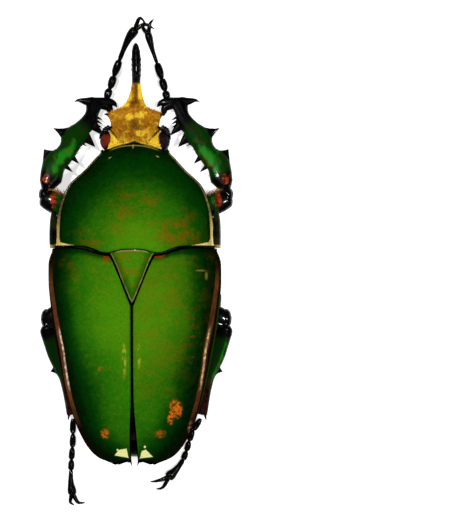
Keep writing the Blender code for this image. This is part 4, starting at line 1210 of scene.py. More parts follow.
def leg_material():
    """Black shins and thighs with a metallic green, partly painted highlight, and red by the knees."""
    tone = colours()
    paint = Paint("leg_gloss", 0.04)
    y, green = paint.y, paint.mark("green")
    # The green and its gold tint are partly the legs' metallic colour and partly painted highlight, laid by
    # the green mark on their upper side
    shine = paint.mix(paint.clouds(0.5, 0.64, 1.3, 4.0) * 0.6, tone.leg_green, SHIN_GOLD)
    streak = paint.waver(1.4, 1.1, 4.0, (1.0, 0.6, 1.0)) - y.ease(19.8, 22.6) * 0.35
    spread = (paint.mark("red") + paint.waver(1.7, 0.7, 4.0)).ease(0.4, 0.75)
    colour = paint.layered(
        tone.black,
        (green.ease(0.0, 0.35), paint.scaled(shine, 0.16)),
        ((green + streak).ease(0.45, 1.05), shine),
        (spread * y.ease(-8.0, 0.0),
         paint.scaled(tone.leg_red, paint.clouds(0.34, 0.62, 0.6, 4.0) * 1.15 + 0.1)),
        (spread * y.ease(0.0, -8.0), HIND_RED),
        (paint.mark("pale") * paint.clouds(0.4, 0.6, 2.2), tone.hair),
    )
    height = paint.pits(0.012, 0.42) + paint.waver(0.014, 0.3, stretch=(0.6, 0.3, 1.0))
    wet = paint.clouds(0.5, 0.62, 1.1) * 0.25 * (1 - green * 0.8) + 0.02
    wet = paint.most(wet, paint.mark("wet") * paint.clouds(0.4, 0.55, 0.7))
    return paint.finish(colour, paint.noise(0.8) * 0.2 + 0.2, height, paint.least(wet, 0.8))


def trunk_material():
    """Dark olive, pitted, paler towards the rear of each plate."""
    tone = colours()
    paint = Paint("olive_chitin", 0.02)
    y, cloud = paint.y, paint.clouds(0.35, 0.7, 3.0, 4.0)
    colour = paint.layered(
        tone.black,
        (cloud * y.ease(-26.0, -22.0), tone.olive),
        (cloud * y.ease(-31.0, -33.0) * 0.8, tone.deep),
        ((paint.mark("pale") + paint.waver(0.7, 0.7, 4.0)).ease(0.2, 0.8),
         paint.scaled(tone.cream, paint.noise(0.6) + 0.3)),
    )
    height = paint.pits(0.06, 0.5) + paint.waver(0.04, 0.25)
    return paint.finish(colour, paint.noise(1.0) * 0.25 + 0.22, height, paint.z.ease(8.5, 7.0) * 0.12)


def eye_material():
    """Red brown lit on the left, painted darker on the right side of the head as shade, with fine facets."""
    paint = Paint("eye_facets", 0.05)
    # Painted light: the left eye shows lit red brown, the right one is painted darker
    brown = paint.mix(paint.x.ease(-0.5, 0.5), colours().eye, RIGHT_EYE)
    cap = paint.most(paint.y.ease(22.2, 22.7), paint.y.ease(20.4, 19.9))
    colour = paint.mix(paint.most(cap, paint.clouds(0.42, 0.68, 0.9, 4.0) * 0.7), brown, EYE_CAP)
    return paint.finish(colour, paint.noise(0.5, 2.0) * 0.15 + 0.16, paint.cells(0.085) * -0.03)


def hair_material(name, colour, spread):
    """Strands of one colour that varies from tuft to tuft."""
    paint = Paint(name, 0.08)
    colour = colour(paint) if callable(colour) else colour
    light = (paint.noise(spread) * 0.8 + 0.65) * (paint.noise(0.22, 2.0) * 0.7 + 0.7)
    return paint.finish(paint.scaled(colour, light), paint.noise(0.4, 2.0) * 0.3 + 0.4)


def floor_material():
    """Pale card."""
    paint = Paint("floor_card", 0.1)
    grain = paint.waver(0.012, 0.9) + paint.waver(0.01, 240.0, 2.0)
    paint.link(WHITE, paint.shader["Emission Color"])
    paint.link(FLOOR_GLOW, paint.shader["Emission Strength"])
    return paint.finish(paint.mix(grain + 0.5, FLOOR_SHADE, WHITE), 0.9, paint.noise(0.5) * 0.01)


class Tree(Nodes):
    """Builds one Geometry Nodes tree."""

    def __init__(self, name):
        super().__init__(bpy.data.node_groups.new(name, "GeometryNodeTree"))
        for way in ("INPUT", "OUTPUT"):
            self.tree.interface.new_socket("Geometry", in_out=way, socket_type="NodeSocketGeometry")
        self.start = self.tree.nodes.new("NodeGroupInput")
        self.ids = {}

    def size(self, name, default, kind="NodeSocketFloat"):
        """Adds a named input."""
        socket = self.tree.interface.new_socket(name, in_out="INPUT", socket_type=kind)
        socket.default_value = default
        self.ids[name] = socket.identifier
        return Signal(self, self.start.outputs[name])

    def offset(self, axis, shift):
        """A shift along one axis."""
        return self.node("ShaderNodeCombineXYZ", None, {axis: shift})

    def close(self, geometry, material):
        """Realizes the instances, sets their material and ends the tree."""
        real = self.node("GeometryNodeRealizeInstances", None, {0: geometry})
        painted = self.node("GeometryNodeSetMaterial", None, {0: real, "Material": material})
        self.link(painted, self.tree.nodes.new("NodeGroupOutput").inputs[0])


def tuft_tree(material):
    """Tufts of three curved strands, scattered where the skin's growth mark says and laid along its lie."""
    tree = Tree(f"tufts_of_{material.name}")
    sockets = (("Density", 1e6), ("Length", 0.0005), ("Width", 0.00005), ("Rise", 0.4), ("Stray", 0.2))
    density, length, width, rise, stray = (tree.size(*socket) for socket in sockets)
    seed = tree.size("Seed", 1, "NodeSocketInt")
    growth = tree.node("GeometryNodeInputNamedAttribute", {"data_type": "FLOAT"}, {"Name": "growth"})
    lie = tree.node("GeometryNodeInputNamedAttribute", {"data_type": "FLOAT_VECTOR"}, {"Name": "lie"})
    skin = Signal(tree, tree.start.outputs[0])
    points = tree.node("GeometryNodeDistributePointsOnFaces", {"distribute_method": "RANDOM"},
                       {"Mesh": skin, "Density": density * growth, "Seed": seed})
    normal = points.beside("Normal")
    wander = tree.node("FunctionNodeRandomValue", {"data_type": "FLOAT_VECTOR"},
                       {0: (-1.0, -1.0, -1.0), 1: (1.0, 1.0, 1.0), "Seed": seed})
    lean = tree.vectors("ADD", tree.scaled(normal, rise), tree.scaled(lie, 1 - rise))
    lean = tree.vectors("ADD", lean, tree.scaled(wander, stray))
    turn = tree.node("FunctionNodeAlignRotationToVector", {"axis": "Z"}, {"Vector": lean})
    turn = tree.node("FunctionNodeAlignRotationToVector", {"axis": "X", "pivot_axis": "Z"},
                     {"Rotation": turn, "Vector": normal})
    strands = tree.tree.nodes.new("GeometryNodeJoinGeometry")
    for across, reach, spin in STRANDS:
        cone = tree.node("GeometryNodeMeshCone", None,
                         {"Vertices": 3, "Side Segments": 3, "Radius Top": width * (STRAND_TIP / 2),
                          "Radius Bottom": width * 0.5, "Depth": length * reach})
        strand = tree.node("GeometryNodeTransform", None,
                           {"Geometry": cone, "Translation": tree.offset("Y", width * across),
                            "Rotation": (spin, 0.0, 0.0)})
        tree.link(strand, strands.inputs[0])
    place = tree.node("GeometryNodeInputPosition")
    height = tree.node("ShaderNodeSeparateXYZ", None, {0: place}).beside(2) / length
    bend = height * height * (length * STRAND_BEND)
    curved = tree.node("GeometryNodeSetPosition", None,
                       {"Geometry": Signal(tree, strands.outputs[0]), "Offset": tree.offset("X", bend)})
    curved = tree.node("GeometryNodeStoreNamedAttribute", {"data_type": "FLOAT_VECTOR", "domain": "POINT"},
                       {"Geometry": curved, "Name": "strand", "Value": place})
    grow = tree.node("FunctionNodeRandomValue", {"data_type": "FLOAT"},
                     {2: TUFT_SIZES[0], 3: TUFT_SIZES[1], "Seed": seed}, output=1)
    tufts = tree.node("GeometryNodeInstanceOnPoints", None,
                      {"Points": points, "Instance": curved, "Rotation": turn, "Scale": grow})
    tree.close(tufts, material)
    return tree


def grow_hair(name, skin, material, kind, length, shift=0):
    """Grows tufts on a skin and gives them their bake patches."""
    density, share, width, rise, stray, seed = HAIR[kind]
    length, width = length * share, width * MM
    tree = tuft_tree(material)
    host = put(name, skin.data.copy())
    grower = host.modifiers.new("tufts", "NODES")
    grower.node_group = tree.tree
    values = {"Density": density * 1e6, "Length": length, "Width": width, "Rise": rise, "Stray": stray,
              "Seed": seed + shift}
    for key, value in values.items():
        grower[tree.ids[key]] = value
    grown = host.evaluated_get(bpy.context.evaluated_depsgraph_get())
    mesh = bpy.data.meshes.new_from_object(grown)
    host.modifiers.remove(grower)
    old = host.data
    host.data = mesh
    bpy.data.meshes.remove(old)
    bpy.data.node_groups.remove(tree.tree)
    if not len(mesh.polygons):
        raise RuntimeError(f"{name} grew no tufts")
    count = len(mesh.vertices)
    strand = read_field(mesh.attributes["strand"].data, "vector", count * 3).reshape(-1, 3)
    root = [read_field(mesh.attributes[f"unwrap_{axis}"].data, "value", count) for axis in "uv"]
    spread = np.stack([strand[:, 1] / (width * 5), strand[:, 2] / length - 0.5], -1)
    corner = np.stack(root, -1) * (1 - 2 * BAKE_MARGIN) + BAKE_MARGIN
    corner += np.clip(spread, -0.5, 0.5) * BAKE_PATCH
    loops = read_field(mesh.loops, "vertex_index", len(mesh.loops), int)
    layer = mesh.uv_layers.new(name="OFBake")
    layer.data.foreach_set("uv", corner[loops].astype(np.float32).ravel())
    for mark in ("strand", "growth", "lie", "unwrap_u", "unwrap_v"):
        if mark in mesh.attributes:
            mesh.attributes.remove(mesh.attributes[mark])
    places = read_field(mesh.vertices, "co", count * 3)
    places[2::3] = np.maximum(places[2::3], 0.0)
    mesh.vertices.foreach_set("co", places)
    mesh.shade_smooth()
    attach(host, "root")
    return host


class BEETLE_OT_stage(bpy.types.Operator):
    """Makes the floor, the soft lights and the camera straight above."""

    bl_idname = "beetle.stage"
    bl_label = "Stage"

    def execute(self, context):
        scene = context.scene
        half = sizes().floor / 2
        mesh = bpy.data.meshes.new("floor")
        corners = [(-half, -half, 0), (half, -half, 0), (half, half, 0), (-half, half, 0)]
        mesh.from_pydata(corners, [], [(0, 1, 2, 3)])
        mesh.materials.append(floor_material())
        floor = put("floor", mesh)
        floor.location.z = FLOOR_LEVEL
        scene.world = bpy.data.worlds.new("studio")
        scene.world.use_nodes = True
        sky = scene.world.node_tree.nodes["Background"].inputs
        sky["Color"].default_value = (*WHITE, 1.0)
        sky["Strength"].default_value = WORLD_LIGHT
        for name, (place, power) in LAMPS.items():
            data = bpy.data.lights.new(name, "AREA")
            data.shape = "DISK"
            data.size = LAMP_SIZE
            data.energy = power
            lamp = put(name, data)
            lamp.location = place
            lamp.rotation_euler = (-Vector(place)).to_track_quat("-Z", "Y").to_euler()
            lamp.visible_camera = False
        data = bpy.data.cameras.new("camera")
        data.lens = CAMERA_LENS
        data.sensor_width = 36.0
        data.clip_start = 0.01
        camera = put("camera", data)
        camera.location = CAMERA_PLACE
        scene.camera = camera
        scene.view_settings.view_transform = "Standard"
        return {"FINISHED"}


class BEETLE_OT_pronotum(bpy.types.Operator):
    """Makes the pronotum with its bead and its cream line."""

    bl_idname = "beetle.pronotum"
    bl_label = "Pronotum"

    def execute(self, context):
        rows, dome_columns, margin_columns, low_columns = 150, 191, 14, 60
        top_columns = dome_columns + 2 * margin_columns
        front, rear = PRONOTUM[0][0], PRONOTUM[-1][0]
        y = stations(PRONOTUM, rows)
        width, top, edge, low = read_columns(PRONOTUM, y)
        margin = read_table(PRONOTUM_MARGIN, y)
        across, up = arch(half_turn(dome_columns), PRONOTUM_ROUNDNESS)
        base = edge + MARGIN_RISE
        run = np.linspace(0, 1, margin_columns, endpoint=False)
        flange = width - margin * (run + 0 * width)
        fall = edge + MARGIN_RISE * (run + 0 * width) ** 1.5
        dome_x, dome_z = (width - margin) * across, base + (top - base) * up
        share = np.linspace(1, -1, low_columns + 1)[1:-1]
        x = np.concatenate([-flange, dome_x, flange[:, ::-1], (width - 0.55) * share], 1)
        z = np.concatenate([fall, dome_z, fall[:, ::-1], low + (edge - low) * 0.6 * share**4], 1)
        ahead = np.maximum(0, 1 - (front - y) / PRONOTUM_REACH)[:, None]
        behind = np.maximum(0, 1 - (y - rear) / PRONOTUM_REACH)[:, None]
        points = np.stack([x, y[:, None] + ahead * pronotum_front(x) + behind * pronotum_rear(x), z], -1)
        upper = points[:, :top_columns]
        gone = travelled(upper, 1)
        side = np.minimum(gone, gone[:, -1:] - gone)
        far = np.abs(upper[..., 1] - rear_edge(upper[..., 0]))
        near = np.abs(front + pronotum_front(upper[..., 0]) - upper[..., 1])
        bead = sizes().bead / MM
        lift = bead * (bell(side - 0.12, 0.16) - 0.5 * bell(side - margin - 0.1, 0.25))
        lift += raised_edge(far, bead, (0.5, 0.1, 0.25), (0.25, 0.6, 0.3))
        lift += raised_edge(near, bead, (0.5, 0.1, 0.25), (0.3, 0.6, 0.3))
        points[:, :top_columns] = upper + outward_normals(upper, (0, 10, 8)) * lift[..., None]
        # Painted light and shade of the dome: lightest near the middle and painted shade towards the front,
        # the sides and the rear edge, together with the green's own darker margins
        reach = np.hypot((upper[..., 0] - 1) / 13, (upper[..., 1] - 1) / 16)
        light = ease(0, 1, (1.5 - reach) / 1.45) * (0.55 + 0.45 * ease(0.1, 1.6, side))
        light = light * ease(-0.4, 0.3, far)
        marks = {"side": side, "rear": far, "cream": self.cream(side, far, np.abs(upper[..., 0]), y),
                 "light": light, "nick": self.nicks(upper, near)}
        marks = padded(marks, low_columns - 1)
        shape = Shape().loft(points, (0, front - 0.4, 9.0), (0, rear + 0.5, 12.0), marks)
        shape.build("pronotum_shell", pronotum_material(), "pronotum_green", "pronotum")
        return {"FINISHED"}

    def cream(self, side, far, x, y):
        """The pale band along the margin, which turns inwards and tapers at the rear corners."""
        width = read_table(CREAM_WIDTH, y)
        turned = read_table(CREAM_TURN, x)[..., 0]
        across, along = CREAM_ROUND - side + width, CREAM_ROUND - far + turned
        inner = np.hypot(np.maximum(0, across), np.maximum(0, along))
        return ease(CREAM_ROUND - 0.05, CREAM_ROUND + 0.05, inner) * ease(0.05, 0.16, far)

    def nicks(self, upper, near):
        """Pale line of the front edge with its nick, and the small glints beside it."""
        x, y = upper[..., 0], upper[..., 1]
        line = (1 - ease(0.16, 0.24, near)) * ease(0.05, 0.1, near) * (1 - ease(3.6, 4.6, np.abs(x))) * 0.5
        nick = (1 - ease(0.05, 0.12, np.abs(x + 0.15))) * (1 - ease(0.5, 0.8, near)) * 0.6
        glints = sum(1 - ease(0.5, 1.2, np.hypot((x - px) / 0.28, (y - py - (x - px) * slant) / 0.12))
                     for px, py, slant in PRONOTUM_GLINTS)
        return np.clip(line + nick + glints * 0.8, 0, 1)


class BEETLE_OT_scutellum(bpy.types.Operator):
    """Makes the small triangular plate between the wing cases."""

    bl_idname = "beetle.scutellum"
    bl_label = "Scutellum"

    def execute(self, context):
        rows, columns = 90, 61
        share = even(rows)[:, None] ** 0.9
        across = np.linspace(-1, 1, columns)[None]
        front = rear_edge(SCUTELLUM_HALF_WIDTH) - GAP
        level = front + (SCUTELLUM_TIP - front) * share
        half = np.maximum(scutellum_half_width(level), 0.02)
        x = (half + GAP * 0.6) * across
        y = level + (rear_edge(x) - GAP / 3 - front) * np.maximum(0, 1 - share * 2.2)
        side = half * (1 - np.abs(across)) * 0.9
        fore = (rear_edge(x) - GAP / 3) - y
        rise = SCUTELLUM_CROWN * (1 - across**2) * (1 - share) + 0.12 * bell(side - 0.32, 0.13)
        rise -= 0.1 * bell(side, 0.08) + 0.1 * bell(side - 0.6, 0.15)
        upper = np.stack([x, y, SCUTELLUM_TOP - 0.05 + rise - 0.25 * bell(fore, 0.15)], -1)
        low = upper * (0.97, 1, 0) + (0, 0, SCUTELLUM_TOP - SCUTELLUM_THICKNESS)
        rings = np.concatenate([upper, low[:, ::-1][:, 1:-1]], 1)
        shape = Shape().loft(rings, marks=padded({"side": side, "front": np.abs(fore)}, columns - 2))
        shape.build("scutellum_plate", scutellum_material(), "elytra_green", "scutellum")
        return {"FINISHED"}


class BEETLE_OT_elytra(bpy.types.Operator):
    """Makes the two wing cases with their ridges, ribs and sutural spines."""

    bl_idname = "beetle.elytra"
    bl_label = "Wing cases"

    def execute(self, context):
        rows, columns = 190, 130
        shares = even(rows)
        points = elytron_grid(shares, even(columns))
        normals = outward_normals(points, (4, -15, 6))
        inner, lead = travelled(points, 1), travelled(points, 0)
        outer, tip = inner[:, -1:] - inner, lead[-1:] - lead
        inset = points[:, -1:, 0] - points[..., 0]
        target = read_table(COPPER_RIDGE, shares)
        nearest = np.argmin(np.abs(inset - target) + (outer > 9) * 9, axis=1)
        ridge = outer - outer[np.arange(rows), nearest][:, None]
        bead, rib, wall = sizes().bead / MM, sizes().rib / MM, sizes().wall / MM
        lift = bead * (bell(ridge, 0.55) - 0.5 * bell(ridge - 1.3, 0.6)) * ease(0, 0.1, shares)[:, None]
        lift += raised_edge(outer, bead, (1.0, 0.2, 0.3), (0.4, 0.8, 0.3))
        lift += raised_edge(inner, bead, (0.55, 0.3, 0.28), (0.35, 0.85, 0.35))
        lift += raised_edge(lead, bead, (0.5, 0.15, 0.25), (0.3, 0.7, 0.3))
        run = span(0.12, 0.3, 0.72, 0.86, shares)[:, None]
        for at in WING_RIBS:
            lift += rib * bell(inner / inner[:, -1:] - at, 0.022) * run
        lift += rib * 1.6 * bell(tip - 0.25, 0.3)
        skin, inside = points + normals * lift[..., None], points - normals * wall
        # Painted light and shade of the green: darker towards the outline, the rear, the front edge and the
        # tip, together with the green's own darker margins
        light = read_table(WING_LIGHT_ACROSS, inset) * read_table(WING_LIGHT_ALONG, points[..., 1])
        light = light[..., 0] * (0.35 + 0.65 * ease(0.1, 1.5, lead)) * (0.5 + 0.5 * ease(0.1, 0.9, tip))
        marks = {"ridge": inset - target, "fall": ridge, "inner": inner, "inset": inset, "tip": tip,
                 "lead": lead, "light": light}
        whole, faces, marks = self.joined(skin, inside, marks)
        corner = points[-1, 0]
        root, end = corner + (0.25, 0.7, -0.3), corner + (-0.2, -SUTURE_SPINE, -0.45)
        material = elytron_material()
        for word, side in SIDES.items():
            shape = Shape()
            shape.add(mirrored(whole, side), faces, marks)
            shape.spike(mirrored(root, side), mirrored(end, side), 0.6, 0.5, 8)
            shape.build(f"elytron_{word}_shell", material, "elytra_green", f"elytron_{word}")
        return {"FINISHED"}

    def joined(self, skin, inside, marks):
        """Points, faces and marks of a shell, with its outer and its inner face joined around the rim."""
        rows, columns = skin.shape[:2]
        count = rows * columns
        grid = np.arange(count).reshape(rows, columns)
        rim = np.concatenate([grid[0], grid[1:, -1], grid[-1, -2::-1], grid[-2:0:-1, 0]])
        middle = 2 * count + np.arange(len(rim))
        upper = np.stack([rim, middle, np.roll(middle, -1), np.roll(rim, -1)], -1)
        lower = np.stack([middle, rim + count, np.roll(rim, -1) + count, np.roll(middle, -1)], -1)
        quads = grid_faces(rows, columns, False)
        edge = self.rounded_rim(skin, inside, rim)
        whole = np.concatenate([skin.reshape(-1, 3), inside.reshape(-1, 3), edge])
        marks = {name: np.concatenate([v.ravel(), v.ravel(), v.ravel()[rim]]) for name, v in marks.items()}
        return whole, [quads[:, ::-1], quads + count, upper, lower], marks

    def rounded_rim(self, skin, inside, rim):
        """Points that round the rim between the outer and inner face."""
        ahead = np.zeros_like(skin)
        ahead[0] = unit(skin[0] - skin[1])
        ahead[-1] = unit(skin[-1] - skin[-2])
        ahead[:, 0] += unit(skin[:, 0] - skin[:, 1])
        ahead[:, -1] += unit(skin[:, -1] - skin[:, -2])
        outward = unit(ahead.reshape(-1, 3)[rim])
        return (skin.reshape(-1, 3)[rim] + inside.reshape(-1, 3)[rim]) / 2 + outward * RIM_ROUNDING


class BEETLE_OT_head(bpy.types.Operator):
    """Makes the head with its hollows and front points, the horn, and the golden down."""

    bl_idname = "beetle.head"
    bl_label = "Head and horn"

    def execute(self, context):
        skin, horn = self.make_head(), self.make_horn()
        gold = hair_material("down_gold", down_colour, 1.2)
        grow_hair("head_tufts", skin, gold, "head", sizes().down)
        grow_hair("horn_tufts", horn, gold, "horn", sizes().down)
        return {"FINISHED"}

    def make_head(self):
        """The head, with a raised middle, hollows beside it and points at its front corners."""
        rows, columns = 170, 144
        first = HEAD[0][0]
        y = stations(HEAD, rows)
        width, top, low = read_columns(HEAD, y)
        across, up = arch(whole_turn(columns), HEAD_ROUNDNESS)
        x = width * across
        out = np.abs(x)
        wing = ease(3.9, 5.3, out) * ease(25.0, 25.9, y)[:, None]
        z = (top + low) / 2 + (top - low) / 2 * up * (1 - wing * 0.72) + wing * 0.55
        level = y[:, None] + 0 * x
        rise = 0.38 * bell(x, 0.85) * ease(24.4, 27.2, level)
        rise -= 0.42 * bell(out - 2.0, 1.1) * bell(level - 25.2, 1.1)
        rise -= 0.3 * bell(x, 0.6) * bell(level - 24.0, 0.7)
        rise += 0.22 * bell(out - width, 0.5) * ease(23.4, 25.2, level)
        line = from_canthus(out, level) + (out - CANTHUS_PLACE[0]) * 0.1
        crease = 0.14 * bell(line - 0.35, 0.25) - 0.16 * bell(line, 0.14)
        rise += crease * span(21.0, 21.5, 23.6, 24.1, level)
        z = z + rise * ease(0.0, 0.5, up)[None] * (1 - wing)
        level = level + np.maximum(0, 1 - (level - first) / 2.5) * (pronotum_front(x) + GAP)
        bare = bell(line, 0.22) * span(21.0, 21.4, 23.7, 24.1, level)
        bare = np.maximum(bare, (1 - ease(21.3, 21.6, level + out * 0.42)) * (1 - ease(1.5, 1.9, out)))
        growth = ease(0.25, 0.5, up)[None] * (1 - wing) * ease(0.0, 0.6, level - 19.9)
        growth = growth * (1 - np.clip(bare * 1.6, 0, 1))
        lie = np.stack([0.25 * np.sign(x) * ease(0.5, 3.0, out), 0 * x + 1.0, 0 * x], -1)
        rings = np.stack([x, level, z], -1)
        shape = Shape().loft(rings, marks=hair_marks(rings, even(rows), growth, lie))
        return shape.build("head_skin", head_material(), "head_down", "head")

    def make_horn(self):
        """The horn, widest at its root, with small teeth towards its tip."""
        rows, sides = 200, 40
        shares = even(rows)
        half, thick = read_table(HORN_SECTIONS, shares).T
        place = path_at(HORN_PATH, shares)
        teeth = sum(reach * bell(place[:, 1] - at, 0.16) for at, reach in HORN_TEETH)
        turn = whole_turn(sides)
        wide = half[:, None] + teeth[:, None] * np.abs(np.sin(turn)) ** 3
        rings = swept(HORN_PATH, shares, wide, thick, sides)
        growth = (1 - ease(30.6, 31.6, place[:, 1]))[:, None] * ease(-0.2, 0.4, np.cos(turn))[None]
        shape = Shape()
        marks = hair_marks(rings, shares, growth, HORN_LIE)
        shape.loft(rings, last=place[-1] + (0.02, 0.12, 0.07), marks=marks)
        return shape.build("horn_shaft", horn_material(), "horn_black", "horn")


class BEETLE_OT_eyes(bpy.types.Operator):
    """Makes the eyes and the black ridges that hold them."""

    bl_idname = "beetle.eyes"
    bl_label = "Eyes"

    def execute(self, context):
        eye, black = eye_material(), chitin_material("canthus_black")
        thick = 0.36 * np.sin(math.pi * (even(24) * 0.8 + 0.15))
        for word, side in SIDES.items():
            shape = Shape().ball(mirrored(EYE_CENTRE, side), EYE_RADII, 64, 44)
            shape.build(f"eye_{word}_ball", eye, "eye", f"eye_{word}")
            holder = Shape()
            holder.sweep(mirrored(CANTHUS_BAR, side), 24, thick, 0.3, 12)
            holder.sweep(mirrored(CANTHUS_KNOB, side), 6, 0.38, 0.34, 12)
            holder.build(f"canthus_{word}", black, "horn_black")
        return {"FINISHED"}


class BEETLE_OT_mouth(bpy.types.Operator):
    """Makes the antennae and the mouthparts."""

    bl_idname = "beetle.mouth"
    bl_label = "Antennae and mouthparts"

    def execute(self, context):
        black = chitin_material("mouth_chitin", 0.4)
        for word, side in SIDES.items():
            self.antenna(word, side, black)
        shape = Shape()
        y = stations(MENTUM, 40)
        half, top, low = read_columns(MENTUM, y)
        across, up = arch(whole_turn(48), 2.4)
        x = half * across
        shape.loft(sections(x, y, between(top, low, up) + 0.25 * bell(x, 0.6) * (up < 0)))
        along = even(50)
        knots = 0.24 + 0.1 * np.abs(np.sin(math.pi * along * 3)) ** 0.5
        wide, thick = 0.55 * (1 - along * 0.7), 0.3 * (1 - along * 0.6)
        for side in SIDES.values():
            shape.sweep(mirrored(PALP_PATH, side), 50, knots, knots, 12)
            shape.sweep(mirrored(JAW_PATH, side), 50, wide, thick, 12)
        shape.build("mouthparts_plate", black, "horn_black", "mouthparts")
        return {"FINISHED"}

    def antenna(self, word, side, black):
        """A beaded stalk with a club of three leaves."""
        shape = Shape()
        path = mirrored(ANTENNA_STALK, side)
        shares, along = even(90), even(30)
        beads = 0.3 + 0.13 * np.abs(np.sin(math.pi * shares * 9)) + 0.12 * bell(shares, 0.12)
        body = np.sin(math.pi * (along * 0.9 + 0.08)) ** 0.6
        shape.sweep(path, 90, beads, beads, 14)
        end = path[-1]
        for number in range(LAMELLAE):
            spread = (number - (LAMELLAE - 1) / 2) * 0.35
            tip = end + (side * (spread - 0.6), -LAMELLA_LENGTH, -0.4 - 0.1 * number)
            leaf = [end + (0, 0.25, 0), (end + tip) / 2 + (side * spread * 0.5, 0, 0), tip]
            shape.sweep(leaf, 30, 0.17 * body, 0.6 * body, 14)
        shape.build(f"antenna_{word}_club", black, "horn_black", f"antenna_{word}")


class BEETLE_OT_trunk(bpy.types.Operator):
    """Makes the underside: breast plates, belly segments, rear plate and shoulder plates."""

    bl_idname = "beetle.trunk"
    bl_label = "Trunk"

    def execute(self, context):
        olive = trunk_material()
        metasternum, abdomen = self.metasternum(olive), Shape()
        self.belly(abdomen, ABDOMEN, 190, SEGMENTS)
        abdomen = abdomen.build("abdomen_segments", olive, "underside", "abdomen")
        prosternum = self.prosternum(olive)
        self.pygidium(olive)
        for word, side in SIDES.items():
            self.mesepimeron(word, side, olive)
        hair = hair_material("breast_hair", colours().hair, 2.0)
        for piece, kind in ((metasternum, "metasternum"), (abdomen, "abdomen"), (prosternum, "prosternum")):
            grow_hair(f"{kind}_hair", piece, hair, kind, sizes().fringe)
        return {"FINISHED"}

    def metasternum(self, olive):
        """The breast with its knob, the ring before the wing cases and the blade under their seam."""
        shape = Shape()
        self.belly(shape, METASTERNUM, 130, 0)
        root, tip, half, thick = MESOSTERNAL_KNOB
        swell = 1 - 0.45 * even(24) ** 2
        shape.sweep([root, tip], 24, half * swell, thick * swell, 24)
        across, up = arch(half_turn(90), 2.2)
        rings = []
        for start, half, top, low in COLLAR:
            x = np.concatenate([half * across, half * 0.98 * np.linspace(1, -1, 40)[1:-1]])
            z = np.concatenate([low + (top - low) * up, np.full(38, low - 0.5)])
            rings.append(np.stack([x, start + pronotum_rear(x), z], -1))
        steps = even(12)[:, None, None]
        shape.loft(rings[0] * (1 - steps) + rings[1] * steps)
        for side in SIDES.values():
            shape.sweep(mirrored(SHOULDER_SHELF, side), 6, 1.5, 0.5, 16, 3.0)
            shape.sweep(mirrored(SHOULDER_WEDGE, side), 6, 0.8, np.linspace(2.2, 1.7, 6), 16, 3.0)
        shape.sweep(SEAM_BLADE, 24, 0.12, 0.6, 12, 3.0)
        return shape.build("metasternum_plate", olive, "underside", "metasternum")

    def prosternum(self, olive):
        """The plate before the breast, with its keel."""
        y = stations(PROSTERNUM, 60)
        width, top, low = read_columns(PROSTERNUM, y)
        across, up = arch(whole_turn(64), 2.6)
        x = width * across
        rings = sections(x, y, between(top, low, up) - 0.3 * bell(x, 0.8) * (up < 0))
        growth = ease(0.1, -0.3, up)[None] + 0 * width
        shape = Shape().loft(rings, marks=hair_marks(rings, even(60), growth, BACKWARDS))
        return shape.build("prosternum_plate", olive, "underside", "prosternum")

    def pygidium(self, olive):
        """The rear plate with its two pale patches."""
        ball = unit_ball(72, 48)
        pale = ease(0.3, 0.2, np.hypot(np.abs(ball[..., 0]) - 0.55, ball[..., 2] - 0.1))
        shape = Shape().ball(PYGIDIUM_CENTRE, PYGIDIUM_RADII, 72, 48, {"pale": pale})
        shape.build("pygidium_plate", olive, "underside", "pygidium")

    def belly(self, shape, table, rows, segments):
        """An arched top under the wing cases and a belly with a flat keel, stepped where it has segments."""
        first, last = table[0][0], table[-1][0]
        share = even(rows)
        y = first + (last - first) * share
        width, top, edge, depth = read_columns(table, y)
        if segments:
            groove = np.where(share[:, None] < 1, (share * segments % 1)[:, None] ** 0.6, 1.0)
            depth = depth - SEGMENT_STEP * groove + SEGMENT_STEP * 0.2
            width = width - SEGMENT_STEP * groove
        across, up = arch(half_turn(40), 2.6)
        low = np.linspace(1, -1, 121)[1:-1]
        fall = np.maximum(0.0, edge - depth * (1 - np.abs(low) ** BELLY_SHARPNESS))
        x = np.concatenate([width * across, width * low], 1)
        rings = sections(x, y, np.concatenate([edge + (top - edge) * up, fall], 1))
        lower = np.concatenate([np.zeros(40), np.ones(119)])[None]
        growth = lower * ease(1.0, 3.4, rings[..., 2]) * (ease(0.3, 0.6, groove) if segments else 1.0)
        marks = hair_marks(rings, share, growth, BACKWARDS)
        if segments:
            spots = ease(0.80, 0.86, np.abs(x) / width) * ease(0.96, 0.92, np.abs(x) / width) * lower
            marks["pale"] = spots * ease(0.35, 0.5, groove) * ease(0.95, 0.85, groove)
        shape.loft(rings, marks=marks)

    def mesepimeron(self, word, side, olive):
        """The upright plate that shows between the pronotum and the shoulder."""
        y = stations(MESEPIMERON, 50)
        centre, half, top, low = read_columns(MESEPIMERON, y)
        turn = whole_turn(28)
        x = side * (centre + half * np.cos(turn) * np.where(np.cos(turn) < 0, 2.4, 1.0))
        rings = sections(x, y, between(top, low, np.sin(turn)))
        pale = ease(3.1, 2.6, rings[..., 1]) * ease(-0.2, 0.3, np.sin(turn)[None] + 0 * x) * 0.7 + 0.04
        shape = Shape().loft(rings, marks={"pale": pale})
        shape.build(f"mesepimeron_{word}_plate", olive, "underside", f"mesepimeron_{word}")


